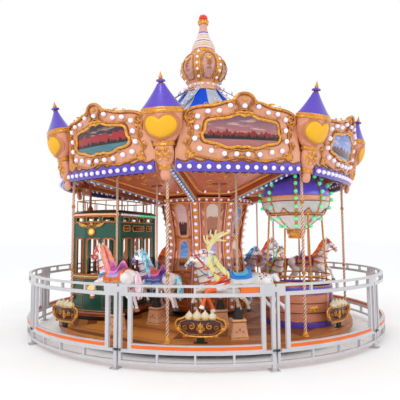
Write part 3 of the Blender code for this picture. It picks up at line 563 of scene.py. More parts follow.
# The light and dark tones of each gelcoat, and its roughness, coat, patch size and mottling if special
GELCOATS = {"peach": ("#DC9E7A", "#C98461"), "pale peach": ("#E3B08B", "#D0906B"),
    "salmon pink": ("#DE9A7B", "#C67A5E"), "mauve pink": ("#D6A08C", "#C58E84"),
    "salmon": ("#D07C58", "#BC6646"), "terracotta": ("#B05634", "#8C3E24", 0.4),
    "toffee": ("#C08240", "#A06030"), "brown umber": ("#6E2A14", "#4A1A0C", 0.45),
    "amber": ("#D98A2A", "#BC6C1C"), "navy": ("#1B1552", "#0F0B38"), "rose": ("#DDAB9C", "#C98F80"),
    "cream": ("#EFE9CF", "#D9CFA9"), "white horse": ("#F4F1EF", "#DDD7D6", 0.25),
    "grey hoof": ("#3B3A44", "#23222A"), "ink black": ("#121014", "#050405"),
    "pink": ("#E88ACB", "#CC66B2"), "orange": ("#F26A1B", "#D24E10"), "sky": ("#63C8E6", "#3A9DC9"),
    "blue": ("#1E7FD6", "#1257A8"), "ruby": ("#D5222B", "#A01522"), "plum": ("#6B3AA8", "#4A2382"),
    "leaf": ("#79C234", "#4E9420"), "chestnut": ("#B4502A", "#7E3014"),
    "orange peach": ("#F0935A", "#E0763F"), "lilac": ("#B49AE6", "#9378CF"),
    "blush": ("#F2C6DC", "#DFA3C6"), "orchid": ("#D063C4", "#A945A0"), "ice": ("#CDEFF6", "#A3DCEB"),
    "ivory": ("#F3E9D8", "#E2D2B8", 0.25), "dove grey": ("#CBD2DE", "#A9B3C6", 0.25),
    "pale leaf": ("#DDE29A", "#BFC96E"), "copper hoof": ("#C26A3C", "#98481F"),
    "cream gold": ("#E6C08A", "#C9995C"), "pearl": ("#F2EAD2", "#C7AE6A", 0.32, 0.25, 60, 0.7),
    "antler cream": ("#EDE2A6", "#CDB870", 0.32, 0.1)}
# The other finishes: who makes them, and what from
RECIPES = {"fence enamel": (enamel, "#C6C5C9", "#B4B3B9"), "orange stripe film": (enamel, "#EA6A0C",
        "#D85C08", 0.45, 0, 0.05), "black iron": (enamel, "#1A1A1D", "#2B2A2B", 0.5, 0.3),
        "zinc bolt": (enamel, "#B9BBC0", "#8C8E94", 0.35, 0.9), "oiled boards": (hardwood, "#E2943C",
        "#7E401A"), "edge lacquer": (gelcoat, "#BE6C1C", "#944C14", 0.42, 0),
        # Dark umber for lines of painted shade beside the gilded mouldings
        "umber shadow glaze": (gelcoat, "#8E4720", "#6A3014", 0.5), "gold lacquer": (gilding, "#DE9438",
        "#8A4512"), "bright gold lacquer": (gilding, "#F4B23E", "#B4661A", 0.25),
        "brown gold glaze": (gilding, "#B86C2C", "#703614"), "polished gold": (gilding, "#DE9A30", "#BC7420",
        0.45, 0.2), "teal lacquer": (gelcoat, "#2FA8B0", "#1D7C8C"), "violet lacquer": (gelcoat, "#5A44B8",
        "#45309C", 0.32, 0.4), "flake violet lacquer": (sparkle, "#5238B4", "#9482DE"),
        "yellow acrylic": (gelcoat, "#EEB000", "#E6A600", 0.45, 0), "opal lamp glass": (opal_glass, "#EFE9FA",
        0.12), "lilac lamp glass": (opal_glass, "#D9C8F6", 0.15), "green lamp glass": (opal_glass, "#3CE894",
        0.35), "amber lamp glass": (opal_glass, "#FFC41E", 0.5), "orange lamp strip": (opal_glass, "#FF9A4D",
        0.4), "lamp socket": (gelcoat, "#B58BC4", "#8A6AA8"), "blue canvas": (canvas, "blue"),
        "white canvas": (canvas, "pale"), "red lacquer": (gelcoat, "#EE1B12", "#BF0F0B", 0.32, 0.5),
        "tram green enamel": (enamel, "#0F5440", "#0A3A2E"), "tram black green enamel": (enamel, "#1F2E2B",
        "#101A18"), "teak": (gelcoat, "#9A5524", "#6B3413"), "maroon enamel": (enamel, "#551410", "#360A08"),
        "twist gold": (gilding, "#F0D3BA", "#DAB095", 0.05), "twist umber": (gelcoat, "#B57A60", "#8F5A44"),
        "black boot rubber": (rubber,), "quilted salmon": (quilting, "#DE9170", "#C97A58", "#A0604A"),
        "balloon shell": (envelope_skin,), "spotted deer gelcoat": (dappled,),
        "studio paper": (studio_paper,), "dusk lake print": (scenery, "#5C4A68", "#CC7A68", "#8A1E16",
        "#0E0507", "#6E4C62", 0.45, 0.47, 0.26, 11), "night hills print": (scenery, "#2A1C30", "#5A2630",
        "#A8252B", "#171016", "#2E9AA8", 0.45, 0.62, 0.3, 11, 3), "blue hour print": (scenery, "#2F55B8",
        "#A9B8DC", "#6E3A4C", "#23202E", "#4A68B0", 0.45, 0.4, 0.14, 9, 7),
        "morning meadow print": (scenery, "#6FA8D8", "#F6D8A0", "#6C8C4A", "#2C4426", "#88B4C8", 0.45, 0.45,
        0.2, 6, 11), "pink tower hills print": (scenery, "#C9A2A8", "#E8C8B8", "#5A2A2C", "#2A1618",
        "#6E4038", 0.56, 0.45, 0.06, 26, 2), "stone garden print": (scenery, "#CFC8C0", "#E6B79A", "#B07458",
        "#4A2A24", "#C8906E", 0.56, 0.62, 0.08, 20, 5), "sea sky print": (scenery, "#1466B8", "#8CC0D8",
        "#8A8478", "#2A2A30", "#3F86B4", 0.56, 0.35, 0.1, 18, 9), "blue arch print": (scenery, "#1C78D2",
        "#7AB8E0", "#C88A52", "#7A3A22", "#B06A3C", 0.5, 0.42, 0.12, 16, 13),
        "lilac arch print": (scenery, "#8F86C8", "#D8C4D8", "#B05C4C", "#5A3A52", "#9A8AB8", 0.5, 0.5, 0.16,
        14, 17)}
RECIPES.update((f"{name} gelcoat", (gelcoat, *tones)) for name, tones in GELCOATS.items())


# Gelcoats, lacquers, enamels and glazes are asked for without their last word
FULL_NAMES = {name.rsplit(" ", 1)[0]: name for name in RECIPES if name.endswith(("gelcoat", "lacquer",
        "enamel", "glaze"))}


class FinishShelf(dict):
    """Makes each finish once, when it is first asked for."""

    def __missing__(self, name):
        made = []

        def get():
            if not made:
                full = FULL_NAMES.get(name, name)
                kind, *tones = RECIPES[full]
                made.append(kind(full, *tones))
            return made[0]
        self[name] = get
        return get


FINISHES = FinishShelf()


COS = math.cos(math.radians(CORNER))
SIN = math.sin(math.radians(CORNER))


def scene_settings():
    """The sizes and colours shown in the sidebar."""
    return bpy.context.scene.carousel


def bulb(form, point, radius, out=(0, -1, 0), glass="opal lamp glass", sides=8):
    """A small lamp on its socket; out is the direction that it faces."""
    centre = Vector(point)
    out = Vector(out).normalized()
    form.tube([centre - out * radius * 1.3, centre - out * radius * 0.4], radius * 0.66, "lamp socket", 6)
    form.ball(centre, radius, glass, sides // 2, sides)


def volute(form, x, z, size, finish, y=0, start=0, hand=1, turns=1.3, thick=0.19):
    """A moulded scroll in the X-Z plane that winds in from the start angle."""
    path = []
    for i in range(17):
        t = i / 16
        radius = size * (1 - 0.8 * t ** 0.8)
        angle = math.radians(start) + hand * 2 * math.pi * turns * t
        path.append((x + radius * math.cos(angle), y - 0.25 * size * thick * t, z + radius * math.sin(angle)))
    form.tube(path, lambda t: size * thick * min(1, 0.3 + 4 * t) * (1 - 0.25 * t), finish)


def leaf(form, x, z, length, angle, finish, y=0, width=0.28, curl=0):
    """A moulded leaf that grows from (x, z) at an angle from upright, in degrees."""
    path = []
    for i in range(8):
        t = i / 7
        lean = math.radians(angle + curl * t)
        path.append((x + length * t * math.sin(lean), y - 0.12 * length * math.sin(math.pi * t),
                z + length * t * math.cos(lean)))
    form.tube(path, lambda t: length * width * max(0.06, math.sin(math.pi * min(1, t + 0.12)) ** 0.8), finish,
            flat=0.45)


def spray(form, x, z, size, angle, finish, y=0):
    """A fan of five leaves between two scrolls, growing at an angle from upright."""
    for k, reach in ((-2, 0.62), (-1, 0.86), (0, 1), (1, 0.86), (2, 0.62)):
        leaf(form, x, z, size * reach, angle + 30 * k, finish, y, 0.17)
    for hand in HANDS:
        turn = math.radians(angle + hand * 104)
        volute(form, x + 0.45 * size * math.sin(turn), z + 0.45 * size * math.cos(turn), 0.26 * size, finish,
                y, 90 - angle, -hand)
    form.ball((x, y, z), 0.16 * size, finish, 4, 8, 0.8)


def scrolls(form, finish, *rows):
    """Volutes on both halves: x, z, size and y in millimetres, start angle, and turn on the right."""
    for *place, start, turn in rows:
        x, z, size, y = [value / 1000 for value in place]
        for hand in HANDS:
            volute(form, x * hand, z, size, finish, y, start, turn * hand)


def leaves(form, finish, *rows):
    """Leaves on both halves: x, z, length and y in millimetres, then angle, width ratio and curl."""
    for *place, angle, width, curl in rows:
        x, z, length, y = [value / 1000 for value in place]
        for hand in HANDS:
            leaf(form, x * hand, z, length, angle * hand, finish, y, width, curl * hand)


def ring_points(outline, y=0, steps=2):
    """A closed smooth line through an outline in the X-Z plane."""
    return [(x, y, z) for x, z in curve_through(outline, steps, True)]


def make_deck():
    """Boards, rim and skirt of the turntable."""
    form = Form()
    rim = mm((500, 102), (2598, 102), (2620, 115), (2622, 128), (2612, 135), (2612, 160), (2622, 168),
            (2622, 182), (2612, 190), (2596, 190), (2594, 186), (500, 186))
    rows = [[compass(r, 3.75 * i, z) for i in range(96)] for r, z in rim]
    form.skin(rows, lambda r, i: "edge" if 1 <= r <= 9 else "black iron", ring=True)
    gap = 0.0045
    for sector in range(SIDES):
        form.place = turn_z(SIDE_STEP * sector)
        low, index = 0.6, 0
        while low < 2.585:
            high = min(low + scene_settings().board_width, 2.592)
            left = []
            for step in range(7):
                r = low + gap + (high - low - gap) * step / 6
                half = min(r * math.tan(math.radians(CORNER)) - gap, math.sqrt(max(2.594 ** 2 - r * r, 1e-4)))
                left.append((half, r))
            outline = [(x, -r) for x, r in left] + [(-x, -r) for x, r in reversed(left)]
            tint = (math.sin(12.9898 * (sector * 31 + index) + 4.1) * 43758.5453) % 1
            size = len(outline)
            start = form.add([(x, y, z) for z in (0.184, DECK_TOP) for x, y in outline])
            for i in range(2 * size):
                x, y = outline[i % size]
                form.picture[start + i] = (x + 2.7 * index, y + 1.3 * sector)
                form.tints[start + i] = tint
            form.face(range(start + size, start + 2 * size), "oiled boards")
            form.quads(start, start + size, size, "oiled boards")
            low = high
            index += 1
    form.put("deck_boards", "deck_wood", ["deck"])


def make_pedestals():
    """The tapered plinth and rubber bell boot under each animal."""
    form = Form()
    levels = ((0.1905, 1.06, "pale peach"), (0.205, 1.06, "pale peach"), (0.222, 0.99, "gold"),
            (0.236, 0.97, "pale peach"), (0.405, 0.8, "pale peach"), (0.416, 0.84, "gold"),
            (0.43, 0.86, "gold"), (0.45, 0.79, "pale peach"))
    rows, soft = [], 0.022
    for z, scale, finish in levels:
        row = []
        for sx, sy, first in ((1, 1, 0), (-1, 1, 90), (-1, -1, 180), (1, -1, 270)):
            for step in range(4):
                angle = math.radians(first + 30 * step)
                row.append((sx * (0.125 * scale - soft) + soft * math.cos(angle),
                        sy * (0.115 * scale - soft) + soft * math.sin(angle), z))
        rows.append(row)
    form.skin(rows, lambda r, i: levels[min(r + 1, 7)][2])
    for turn in (0, 90, 180, 270):
        lean = Matrix.Rotation(math.radians(-8), 4, "X")
        form.place = turn_z(turn) @ shift(0, -0.103 if turn % 180 else -0.093, 0.32) @ lean
        form.ball((0, -0.004, 0), 0.021, "salmon", squash=0.9)
        for point in ellipse(0, -0.001, 0, 0.019, 0.019, 5):
            form.ball(point, 0.014, "bright gold", 3, 6)
        for hand in HANDS:
            volute(form, 0.048 * hand, 0.004, 0.024, "gold", -0.002, 90 - 90 * hand, hand)
        leaves(form, "gold", (20, -20, 62, 0, 128, 0.22, -40), (16, 20, 50, 0, 42, 0.24, 30))
    form.place = Matrix()
    form.lathe(mm((74, 450), (76, 458), (70, 466), (66, 490), (60, 515), (52, 535), (47, 545), (49, 552),
            (42, 562), (36, 585), (34, 600), (24, 602)), "black boot rubber", 20)
    shape = form.mesh("pedestal")
    for name, (radius, direction, turn, lift) in ANIMAL_PLACES.items():
        place = shift(*compass(radius, direction)) @ turn_z(direction)
        put(f"pedestal_{name}", shape, SPIN, place)


UPPER_PANEL = mm((0, 2165), (45, 2155), (85, 2125), (112, 2075), (116, 2000), (112, 1900), (104, 1800),
        (94, 1700), (84, 1630), (60, 1600), (0, 1590))
LOWER_PANEL = mm((0, 1525), (40, 1512), (75, 1470), (94, 1400), (100, 1280), (104, 1140), (106, 1045),
        (85, 1020), (0, 1015))
FOOT_PANEL = mm((0, 835), (85, 820), (150, 775), (180, 700), (195, 580), (205, 420), (205, 345), (180, 325),
        (0, 325))


COLUMN_ORDER = (1, 2, 0, 1, 2, 0, 2, 0)


def column_side(upper, lower):
    """One face of the hourglass column with its panels, scrolls and lamps."""
    form = Form()
    form.warp = lambda p: Vector((p.x, p.y - between(COLUMN_PROFILE, p.z) * COS, p.z))
    levels = [0.27 + 2 * step / 33 for step in range(34)]

    def half_at(z):
        return between(COLUMN_PROFILE, z) * SIN

    def skin_paint(row, column):
        z = levels[row]
        return "terracotta" if z < 0.34 or 0.9 < z < 0.98 or 1.53 < z < 1.585 or z > 2.18 else "salmon"

    form.skin([[(half_at(z) * (k / 5 - 1), 0, z) for k in range(11)] for z in levels], skin_paint,
            around=False)
    for z, size, finish in ((0.285, 0.018, "gold"), (0.875, 0.02, "gold"), (0.985, 0.016, "amber"),
            (1.548, 0.018, "gold"), (2.18, 0.015, "amber"), (2.252, 0.018, "gold")):
        form.tube([(half_at(z) * k, -0.004, z) for k in (-1, 0, 1)], size, finish, 8, flat=0.8, up=UP)
    for half, picture in ((UPPER_PANEL, upper), (LOWER_PANEL, lower)):
        middle = sum(z for x, z in half) / len(half)
        wider = [(x * 1.22, z + (0.022 if z > middle else -0.018)) for x, z in half]
        form.sheet(curve_through(mirrored(half), 2, True), -0.006, picture, 10, 14)
        form.hoop(ring_points(mirrored(half), -0.008), 0.013, "salmon pink")
        form.hoop(ring_points(mirrored(wider), -0.003), 0.0104, "peach")
    inner = [(x * 0.72, 0.58 + (z - 0.58) * 0.78) for x, z in FOOT_PANEL]
    form.sheet(curve_through(mirrored(FOOT_PANEL), 2, True), -0.004, "terracotta", 10, 10)
    form.hoop(ring_points(mirrored(FOOT_PANEL), -0.008), 0.016, "gold")
    form.hoop(ring_points(mirrored(inner), -0.006), 0.01, "amber")
    for z, size, angle, y in ((0.545, 0.105, 0, -0.012), (0.5, 0.08, 180, -0.012), (0.925, 0.072, 0, -0.012),
            (1.562, 0.055, 0, -0.012), (2.185, 0.05, 180, -0.01)):
        spray(form, 0, z, size, angle, "bright gold" if z == 1.562 else "gold", y)
    for hand in HANDS:
        volute(form, 0.19 * hand, 2.125, 0.044, "gold", -0.01, 180 - 90 * hand, -hand)
    scrolls(form, "gold", (85, 430, 36, -10, 90, 1), (195, 885, 45, -8, -90, 1), (150, 1575, 40, -8, -60, 1),
            (155, 1490, 34, -8, 60, -1))
    leaves(form, "peach", (165, 1950, 160, -4, -8, 0.13, 40), (160, 1920, 200, -4, 174, 0.11, 14),
            (165, 1200, 200, -4, 4, 0.1, -20), (165, 1180, 140, -4, 182, 0.13, -20))
    for k in (-1, 0, 1):
        bulb(form, (0.13 * k, -0.026, 2.216), 0.021)
    form.warp = lambda p: Vector((p.x, p.y - between(COLUMN_PROFILE, p.z), p.z))
    form.place = turn_z(CORNER)
    zs = [0.29 + 1.95 * i / 24 for i in range(25)]
    form.tube([(0, 0.006, z) for z in zs], lambda t: 0.064 - 0.01 * math.sin(math.pi * t), "amber", 10,
            flat=0.42)
    for hand in HANDS:
        for reach, finish in ((0.06, "brown gold"), (0.078, "blush"), (0.092, "terracotta")):
            form.tube([(hand * (reach - 0.01 * math.sin(math.pi * i / 24)), 0, z) for i, z in enumerate(zs)],
                    0.009, finish)
    for k in range(16):
        bulb(form, (0, -0.034, 0.37 + 0.12 * k), 0.032)
    return form.mesh("column_side")


def make_column():
    """The eight faces of the hourglass column and its cap."""
    uppers = ("pink tower hills print", "stone garden print", "sea sky print")
    lowers = ("blue arch print", "lilac arch print", "stone garden print")
    shapes = [column_side(uppers[k], lowers[k]) for k in range(3)]
    for k in range(SIDES):
        put(f"column_side_{k}", shapes[COLUMN_ORDER[k]], SPIN, turn_z(SIDE_STEP * k),
            stands_for=["column"] if k == 0 else ())
    form = Form()
    for z in (0.272, 2.268):
        radius = between(COLUMN_PROFILE, z) - 0.002
        form.skin([[compass(radius, CORNER + SIDE_STEP * i, z + d) for i in range(SIDES)] for d in (-0.002,
                0.002)], "terracotta")
    form.put("column_caps", "column_paint")


def twisted(form, low, high, radius, pitch, rise=0.018):
    """A round bar with three lobes that wind up it, in two tones."""
    sides = 12
    count = max(2, int((high - low) / rise))
    rows = []
    for i in range(count + 1):
        z = low + (high - low) * i / count
        turn = 2 * math.pi * (z - low) / pitch
        row = []
        for k in range(sides):
            angle = 2 * math.pi * k / sides
            reach = radius * (0.9 + 0.16 * math.cos(3 * angle))
            row.append((reach * math.cos(angle + turn), reach * math.sin(angle + turn), z))
        rows.append(row)
    form.skin(rows, lambda r, i: "twist umber" if i % 4 in (1, 2) else "twist gold")


def make_canopy_posts():
    """The twisted corner posts with their turned feet."""
    form = Form()
    form.lathe(mm((52, 190.5), (54, 200), (46, 208), (36, 214), (40, 226), (30, 240), (26, 262), (24, 275)),
            "bright gold", 18)
    twisted(form, 0.27, 2.56, 0.022, scene_settings().twist_pitch)
    for z in (1.05, 2.05):
        form.lathe([(r, z + rise) for r, rise in mm((22, 0), (30, 10), (26, 22), (31, 34), (22, 46))], "gold",
                14)
    form.lathe(mm((24, 2480), (34, 2500), (30, 2530), (52, 2570), (55, 2600)), "gold", 16)
    shape = form.mesh("canopy_post")
    for k in range(SIDES):
        direction = CORNER + SIDE_STEP * k
        place = shift(*compass(POST_RADIUS, direction)) @ turn_z(direction)
        put(f"canopy_post_{k}", shape, SPIN, place)


def make_canopy_beams():
    """The radial beams with their lamp rows, the head ring and the rim."""
    form = Form()
    half, deep = BEAM_WIDTH / 2, BEAM_DEPTH / 2
    low = -deep + 0.002
    for k in range(SIDES):
        form.place = turn_z(CORNER + SIDE_STEP * k)
        form.warp = lambda p: Vector((p.x, p.y, p.z + BEAM_START[1] + BEAM_SLOPE * (-p.y - BEAM_START[0])))
        form.block((-half, -2.546, -deep), (half, -0.905, deep), "terracotta")
        form.block((-0.034, -2.52, -deep - 0.01), (0.034, -0.93, low), "navy")
        for hand in HANDS:
            side = 0.04 * hand
            form.block((side - 0.007, -2.52, -deep - 0.014), (side + 0.007, -0.93, low), "teal")
            form.tube([(hand * half, y, -deep) for y in (-2.54, -1.7, -0.92)], 0.011, "amber", up=UP)
        for step in range(14):
            bulb(form, (0, -0.98 - 0.114 * step, -deep - 0.024), 0.022, (0, 0, -1), "lilac lamp glass")
        form.warp = None
        form.place = turn_z(SIDE_STEP * k)
        for step in range(5):
            bulb(form, (-0.26 + 0.13 * step, -0.905 * COS - 0.026, 2.225), 0.026)
        for step in range(11):
            x = -0.6 + 0.12 * step
            bulb(form, (x, -2.372 - 0.8 * bow(x), 2.622), 0.02, (0, 0, -1))
    form.place = Matrix()
    ring = mm((935, 2170), (945, 2185), (938, 2200), (938, 2250), (948, 2262), (935, 2270), (862, 2270),
            (862, 2170))
    form.skin([[compass(r, CORNER + SIDE_STEP * i, z) for i in range(SIDES)] for r, z in ring],
            lambda r, i: "gold" if r in (0, 3) else "terracotta", ring=True)
    rows = []
    for apothem, wide, z, bent in ((2.4497, 0.7, 2.64, 1), (2.4617, 0.7, 2.74, 1), (2.3, 0.9015, 2.74, 0),
            (2.3, 0.9015, 2.64, 0)):
        row = []
        for k in range(SIDES):
            for c in range(-6, 7):
                out = bent * (bow(0.7 * c / 6) if abs(c) < 6 else -0.01)
                row.append(turn_z(SIDE_STEP * k) @ Vector((wide * c / 6, -apothem - out, z)))
        rows.append(row)
    form.skin(rows, lambda r, i: "terracotta" if r in (1, 3) else "amber", ring=True)
    form.put("canopy_beams", "gold_paint", ["canopy_frame"])


def make_ceiling():
    """Raised mouldings, scrolls and lamps under the sloping ceiling."""
    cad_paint("ceiling", "terracotta")
    form = Form()
    rise = BEAM_START[1] + BEAM_DEPTH / 2

    def under(p):
        return Vector((p.x, p.y, p.z + rise + BEAM_SLOPE * (-p.y / COS - BEAM_START[0])))

    frame_line = ((0, -2.18), (0.45, -2.2), (0.72, -2.12), (0.7, -1.95), (0.56, -1.62), (0.42, -1.3),
            (0.3, -1.06), (0.16, -0.98), (0, -0.97))
    path = [(x, y, -0.004) for x, y in curve_through(mirrored(frame_line), 3, True)]
    for k in range(SIDES):
        form.place = turn_z(SIDE_STEP * k)
        form.warp = under
        form.hoop(path, 0.016, "amber", up=UP)
        form.hoop([(x * 0.9, -1.62 + (y + 1.62) * 0.9, z) for x, y, z in path], 0.009, "brown gold", up=UP)
        flat = Matrix.Rotation(math.radians(-90), 4, "X")
        form.warp = lambda p: under(flat @ p + Vector((0, 0, -0.004)))
        for x, y, size, angle in ((0, -1.78, 0.17, 0), (0, -1.66, 0.15, 180), (0.42, -1.98, 0.13, 60),
                (-0.42, -1.98, 0.13, -60), (0, -1.18, 0.11, 0)):
            spray(form, x, y, size, angle, "gold")
        scrolls(form, "gold", (220, -1500, 75, 0, 90, 1), (300, -1800, 85, 0, -90, -1),
                (160, -1300, 50, 0, 90, 1))
        form.warp = under
        for x in (-0.35, 0, 0.35):
            bulb(form, (x, -2.08, -0.022), 0.022, (0, 0, -1))
        for x in (-0.2, 0.2):
            bulb(form, (x, -1.1, -0.022), 0.022, (0, 0, -1))
    form.put("ceiling_relief", "ceiling_paint")


BOARD_TOP = mm((0, 3552), (50, 3546), (90, 3524), (120, 3488), (145, 3450), (200, 3432), (260, 3415),
        (330, 3385), (420, 3358), (530, 3348), (620, 3338), (700, 3308), (760, 3262), (800, 3190),
        (822, 3120), (845, 2950), (868, 2840), (885, 2780))
BOARD_LINE = mm((660, 3118), (705, 3105), (745, 3130), (775, 3190), (750, 3262), (690, 3305), (610, 3330),
        (530, 3340), (420, 3350), (330, 3376), (250, 3405), (165, 3420), (135, 3455), (112, 3492), (75, 3524),
        (35, 3540), (0, 3543))
BOARD_SIDE = mm((705, 3105), (680, 3050), (672, 2970), (690, 2890), (720, 2820), (705, 2740), (650, 2690),
        (560, 2668), (450, 2640), (330, 2622), (200, 2628), (90, 2655), (0, 2668))
PICTURE_EDGE = mm((0, 3212), (80, 3228), (160, 3196), (250, 3172), (380, 3158), (480, 3132), (505, 3080),
        (515, 3000), (545, 2950), (515, 2880), (440, 2852), (330, 2835), (250, 2800), (150, 2788), (70, 2808),
        (0, 2798))
BOARD_LAMPS = mm((0, 3352), (195, 3352), (335, 3272), (480, 3262), (610, 3190), (618, 3045), (640, 2900),
        (575, 2768), (420, 2742), (245, 2706), (80, 2706))


def bow(x):
    """How far a board stands out from the rim at a distance from its middle."""
    return BOARD_BOW * (1 - (x / BOARD_HALF) ** 2)


def bent_plate(form, half, low, high, depths, finish, columns=48):
    """A plate across a board; low and high give its edges at each x, depths are (y, inset) pairs."""
    sections = []
    for c in range(columns + 1):
        x = half * (2 * c / columns - 1)
        a, b = low(abs(x)), high(abs(x))
        up = [(x, y, b - inset) for y, inset in depths]
        levels = 6
        face = [(x, depths[-1][0], b - depths[-1][1] + (a - b + 2 * depths[-1][1]) * k / levels)
                for k in range(1, levels)]
        down = [(x, y, a + inset) for y, inset in reversed(depths)]
        sections.append(up + face + down)
    form.skin(sections, finish)


def board_form(picture):
    """One bowed, crested rounding board: backing, gilded mouldings, framed picture, lamps and valance."""
    radius = scene_settings().lamp_radius
    form = Form()
    form.place = shift(0, 0, -BOARD_LOW)
    form.warp = lambda p: Vector((p.x, p.y - bow(p.x) * (1 + 0.9 * max(0, p.z - 2.62)),
            p.z - 0.13 * max(0, p.z - 3.2)))
    bent_plate(form, 0.885, lambda x: 2.472, lambda x: between(BOARD_TOP, x),
            mm((-2, 4), (-34, 0), (-44, 12)), "peach", 72)
    crest = [(x * 0.992, z - 0.004) for x, z in BOARD_TOP[4:]]
    # Gilded mouldings on both halves, most with a painted shade line of dark umber just behind and below them
    for points, y, size, finish, glaze in ((crest, -0.038, 0.011, "brown gold", 0),
            (BOARD_LINE, -0.056, 0.024, "gold", 1), (BOARD_SIDE, -0.054, 0.017, "gold", 1),
            (BOARD_LINE[7:12], -0.07, 0.014, "bright gold", 0), (mm((112, 3448), (100, 3400), (70, 3360),
            (75, 3300), (110, 3262)), -0.062, 0.017, "brown gold", 1), (mm((0, 3300), (50, 3288), (100, 3268),
            (160, 3230), (250, 3206), (380, 3192), (450, 3182)), -0.06, 0.013, "gold", 1),
            (mm((0, 3255), (60, 3262), (120, 3240)), -0.07, 0.016, "bright gold", 1),
            (mm((0, 2752), (100, 2765), (180, 2740), (205, 2690), (180, 2655)), -0.06, 0.011, "gold", 1)):
        line = curve_through(points, 3)
        for hand in HANDS:
            form.tube([(x * hand, y, z) for x, z in line], size, finish, 8)
            if glaze:
                form.tube([(x * hand * 0.985, y + size * 0.6, z - size * 0.85) for x, z in line], size * 0.55,
                        "umber shadow")
    closed = curve_through(mirrored(PICTURE_EDGE), 3, True)
    form.sheet(closed, -0.05, picture, 32, 20)
    form.hoop([(x, -0.056, z) for x, z in closed], 0.02, "bright gold", 8)
    # A dark umber ring just outside the picture frame: a painted shade line
    form.hoop([(x * 1.045, -0.05, z + (0.022 if z > 3 else -0.016)) for x, z in closed], 0.012,
            "umber shadow")
    for x, z in BOARD_LAMPS:
        for hand in HANDS[x == 0:]:
            bulb(form, (x * hand, -0.072, z), radius, sides=12)
    spray(form, 0, 3.44, 0.062, 0, "bright gold", -0.056)
    spray(form, 0, 3.235, 0.062, 180, "bright gold", -0.066)
    spray(form, 0, 2.69, 0.06, 180, "gold", -0.056)
    for hand in HANDS:
        volute(form, 0.7 * hand, 3.215, 0.088, "gold", -0.06, 90, -hand, thick=0.22)
        volute(form, 0.15 * hand, 3.418, 0.042, "bright gold", -0.064, 110 + 90 * hand, -hand)
    leaves(form, "gold", (560, 3000, 110, -54, 12, 0.2, 30), (580, 2960, 110, -54, 170, 0.2, -30),
            (470, 3195, 90, -54, 100, 0.22, -40), (300, 2800, 120, -54, 84, 0.16, 20),
            (735, 2640, 150, -54, 4, 0.17, -30), (705, 2645, 110, -54, -78, 0.2, 30),
            (735, 2900, 100, -54, 170, 0.2, -40), (735, 3050, 110, -54, 10, 0.2, -50))
    leaves(form, "bright gold", (715, 2645, 110, -54, -40, 0.2, 50), (340, 3395, 110, -54, 74, 0.14, 12))
    scrolls(form, "bright gold", (662, 3150, 46, -64, -90, 1), (505, 3372, 32, -52, -90, 1),
            (640, 2695, 56, -58, -90, 1))
    scrolls(form, "gold", (112, 3278, 34, -66, -90, -1), (120, 3375, 26, -62, 90, 1),
            (690, 2980, 52, -56, 90, -1), (220, 2650, 32, -56, 90, -1), (745, 2820, 40, -54, 180, 1))

    def wave(x):
        return 0.016 * math.cos(2 * math.pi * x / 0.22)

    bent_plate(form, 0.88, lambda x: 2.466, lambda x: 2.598 + wave(x), mm((-40, 0), (-64, 0), (-68, 5)),
            "violet", 96)
    xs = [0.872 * (k / 32 - 1) for k in range(65)]
    # A dark umber line along the wavy top of the valance: a painted shade line
    form.tube([(x, -0.06, 2.616 + wave(x)) for x in xs], 0.009, "umber shadow")
    bent_plate(form, 0.655, lambda x: 2.47 - 0.02 * abs(math.sin(math.pi * x / 0.12)), lambda x: 2.625,
            ((0.018, 0), (0.004, 0)), "navy", 44)
    for hand in HANDS:
        for k in range(7):
            bulb(form, (hand * (0.064 + 0.128 * k), -0.094, 2.532), radius * 0.9, sides=12)
        for k in range(5):
            bulb(form, (hand * (0.065 + 0.13 * k), 0.034, 2.545), 0.018, (0, 1, 0))
    return form.mesh("rounding_board")


def make_boards():
    """The eight rounding boards on the rim of the canopy."""
    prints = ("dusk lake print", "blue hour print", "morning meadow print", "night hills print")
    shapes = [board_form(name) for name in prints]
    apothem = RIM_OUTER + (BOARD_LOW - RIM_Z[0]) * BOARD_LEAN
    lean = Matrix.Rotation(math.atan(BOARD_LEAN), 4, "X")
    for k in range(SIDES):
        place = turn_z(SIDE_STEP * k) @ shift(0, -apothem, BOARD_LOW) @ lean
        put(f"board_{k}", shapes[k % 4], SPIN, place, stands_for=[f"rounding_board_{k}"])


def heart(width, height, count=48):
    """A heart outline about its own middle."""
    line = []
    for i in range(count):
        t = 2 * math.pi * i / count
        x = math.sin(t) ** 3
        z = (13 * math.cos(t) - 5 * math.cos(2 * t) - 2 * math.cos(3 * t) - math.cos(4 * t) + 2.5) / 14.5
        line.append((x * width / 2, z * height / 2))
    return line


WIDE_HEART = mm((0, 92), (40, 116), (100, 140), (165, 128), (212, 75), (222, 5), (200, -55), (150, -103),
        (90, -134), (40, -150), (0, -157))
TURRET_BULGE = mm((520, 146), (545, 175), (600, 207), (653, 232), (700, 248), (752, 260), (820, 269),
        (892, 276))
TURRET_VASE = mm((150, 70), (222, 98), (262, 118), (330, 131), (370, 133), (440, 127), (470, 123))


def on_turret(profile):
    """Lays a flat relief on the oval front of a turret whose radius at each height is in the profile."""
    def warp(p):
        radius = between(profile, p.z)
        across = max(-0.97, min(0.97, p.x / radius))
        return Vector((p.x, p.y - TURRET_FLATNESS * radius * math.sqrt(1 - across * across), p.z))
    return warp


def pillow(form, outline, centre, levels, finish):
    """A cushioned plate about a centre in the X-Z plane; levels are (scale, y) pairs, outer first."""
    rows = []
    for scale, y in levels:
        rows.append([(centre[0] + x * scale, y, centre[1] + z * scale) for x, z in outline])
    form.skin(rows, finish)


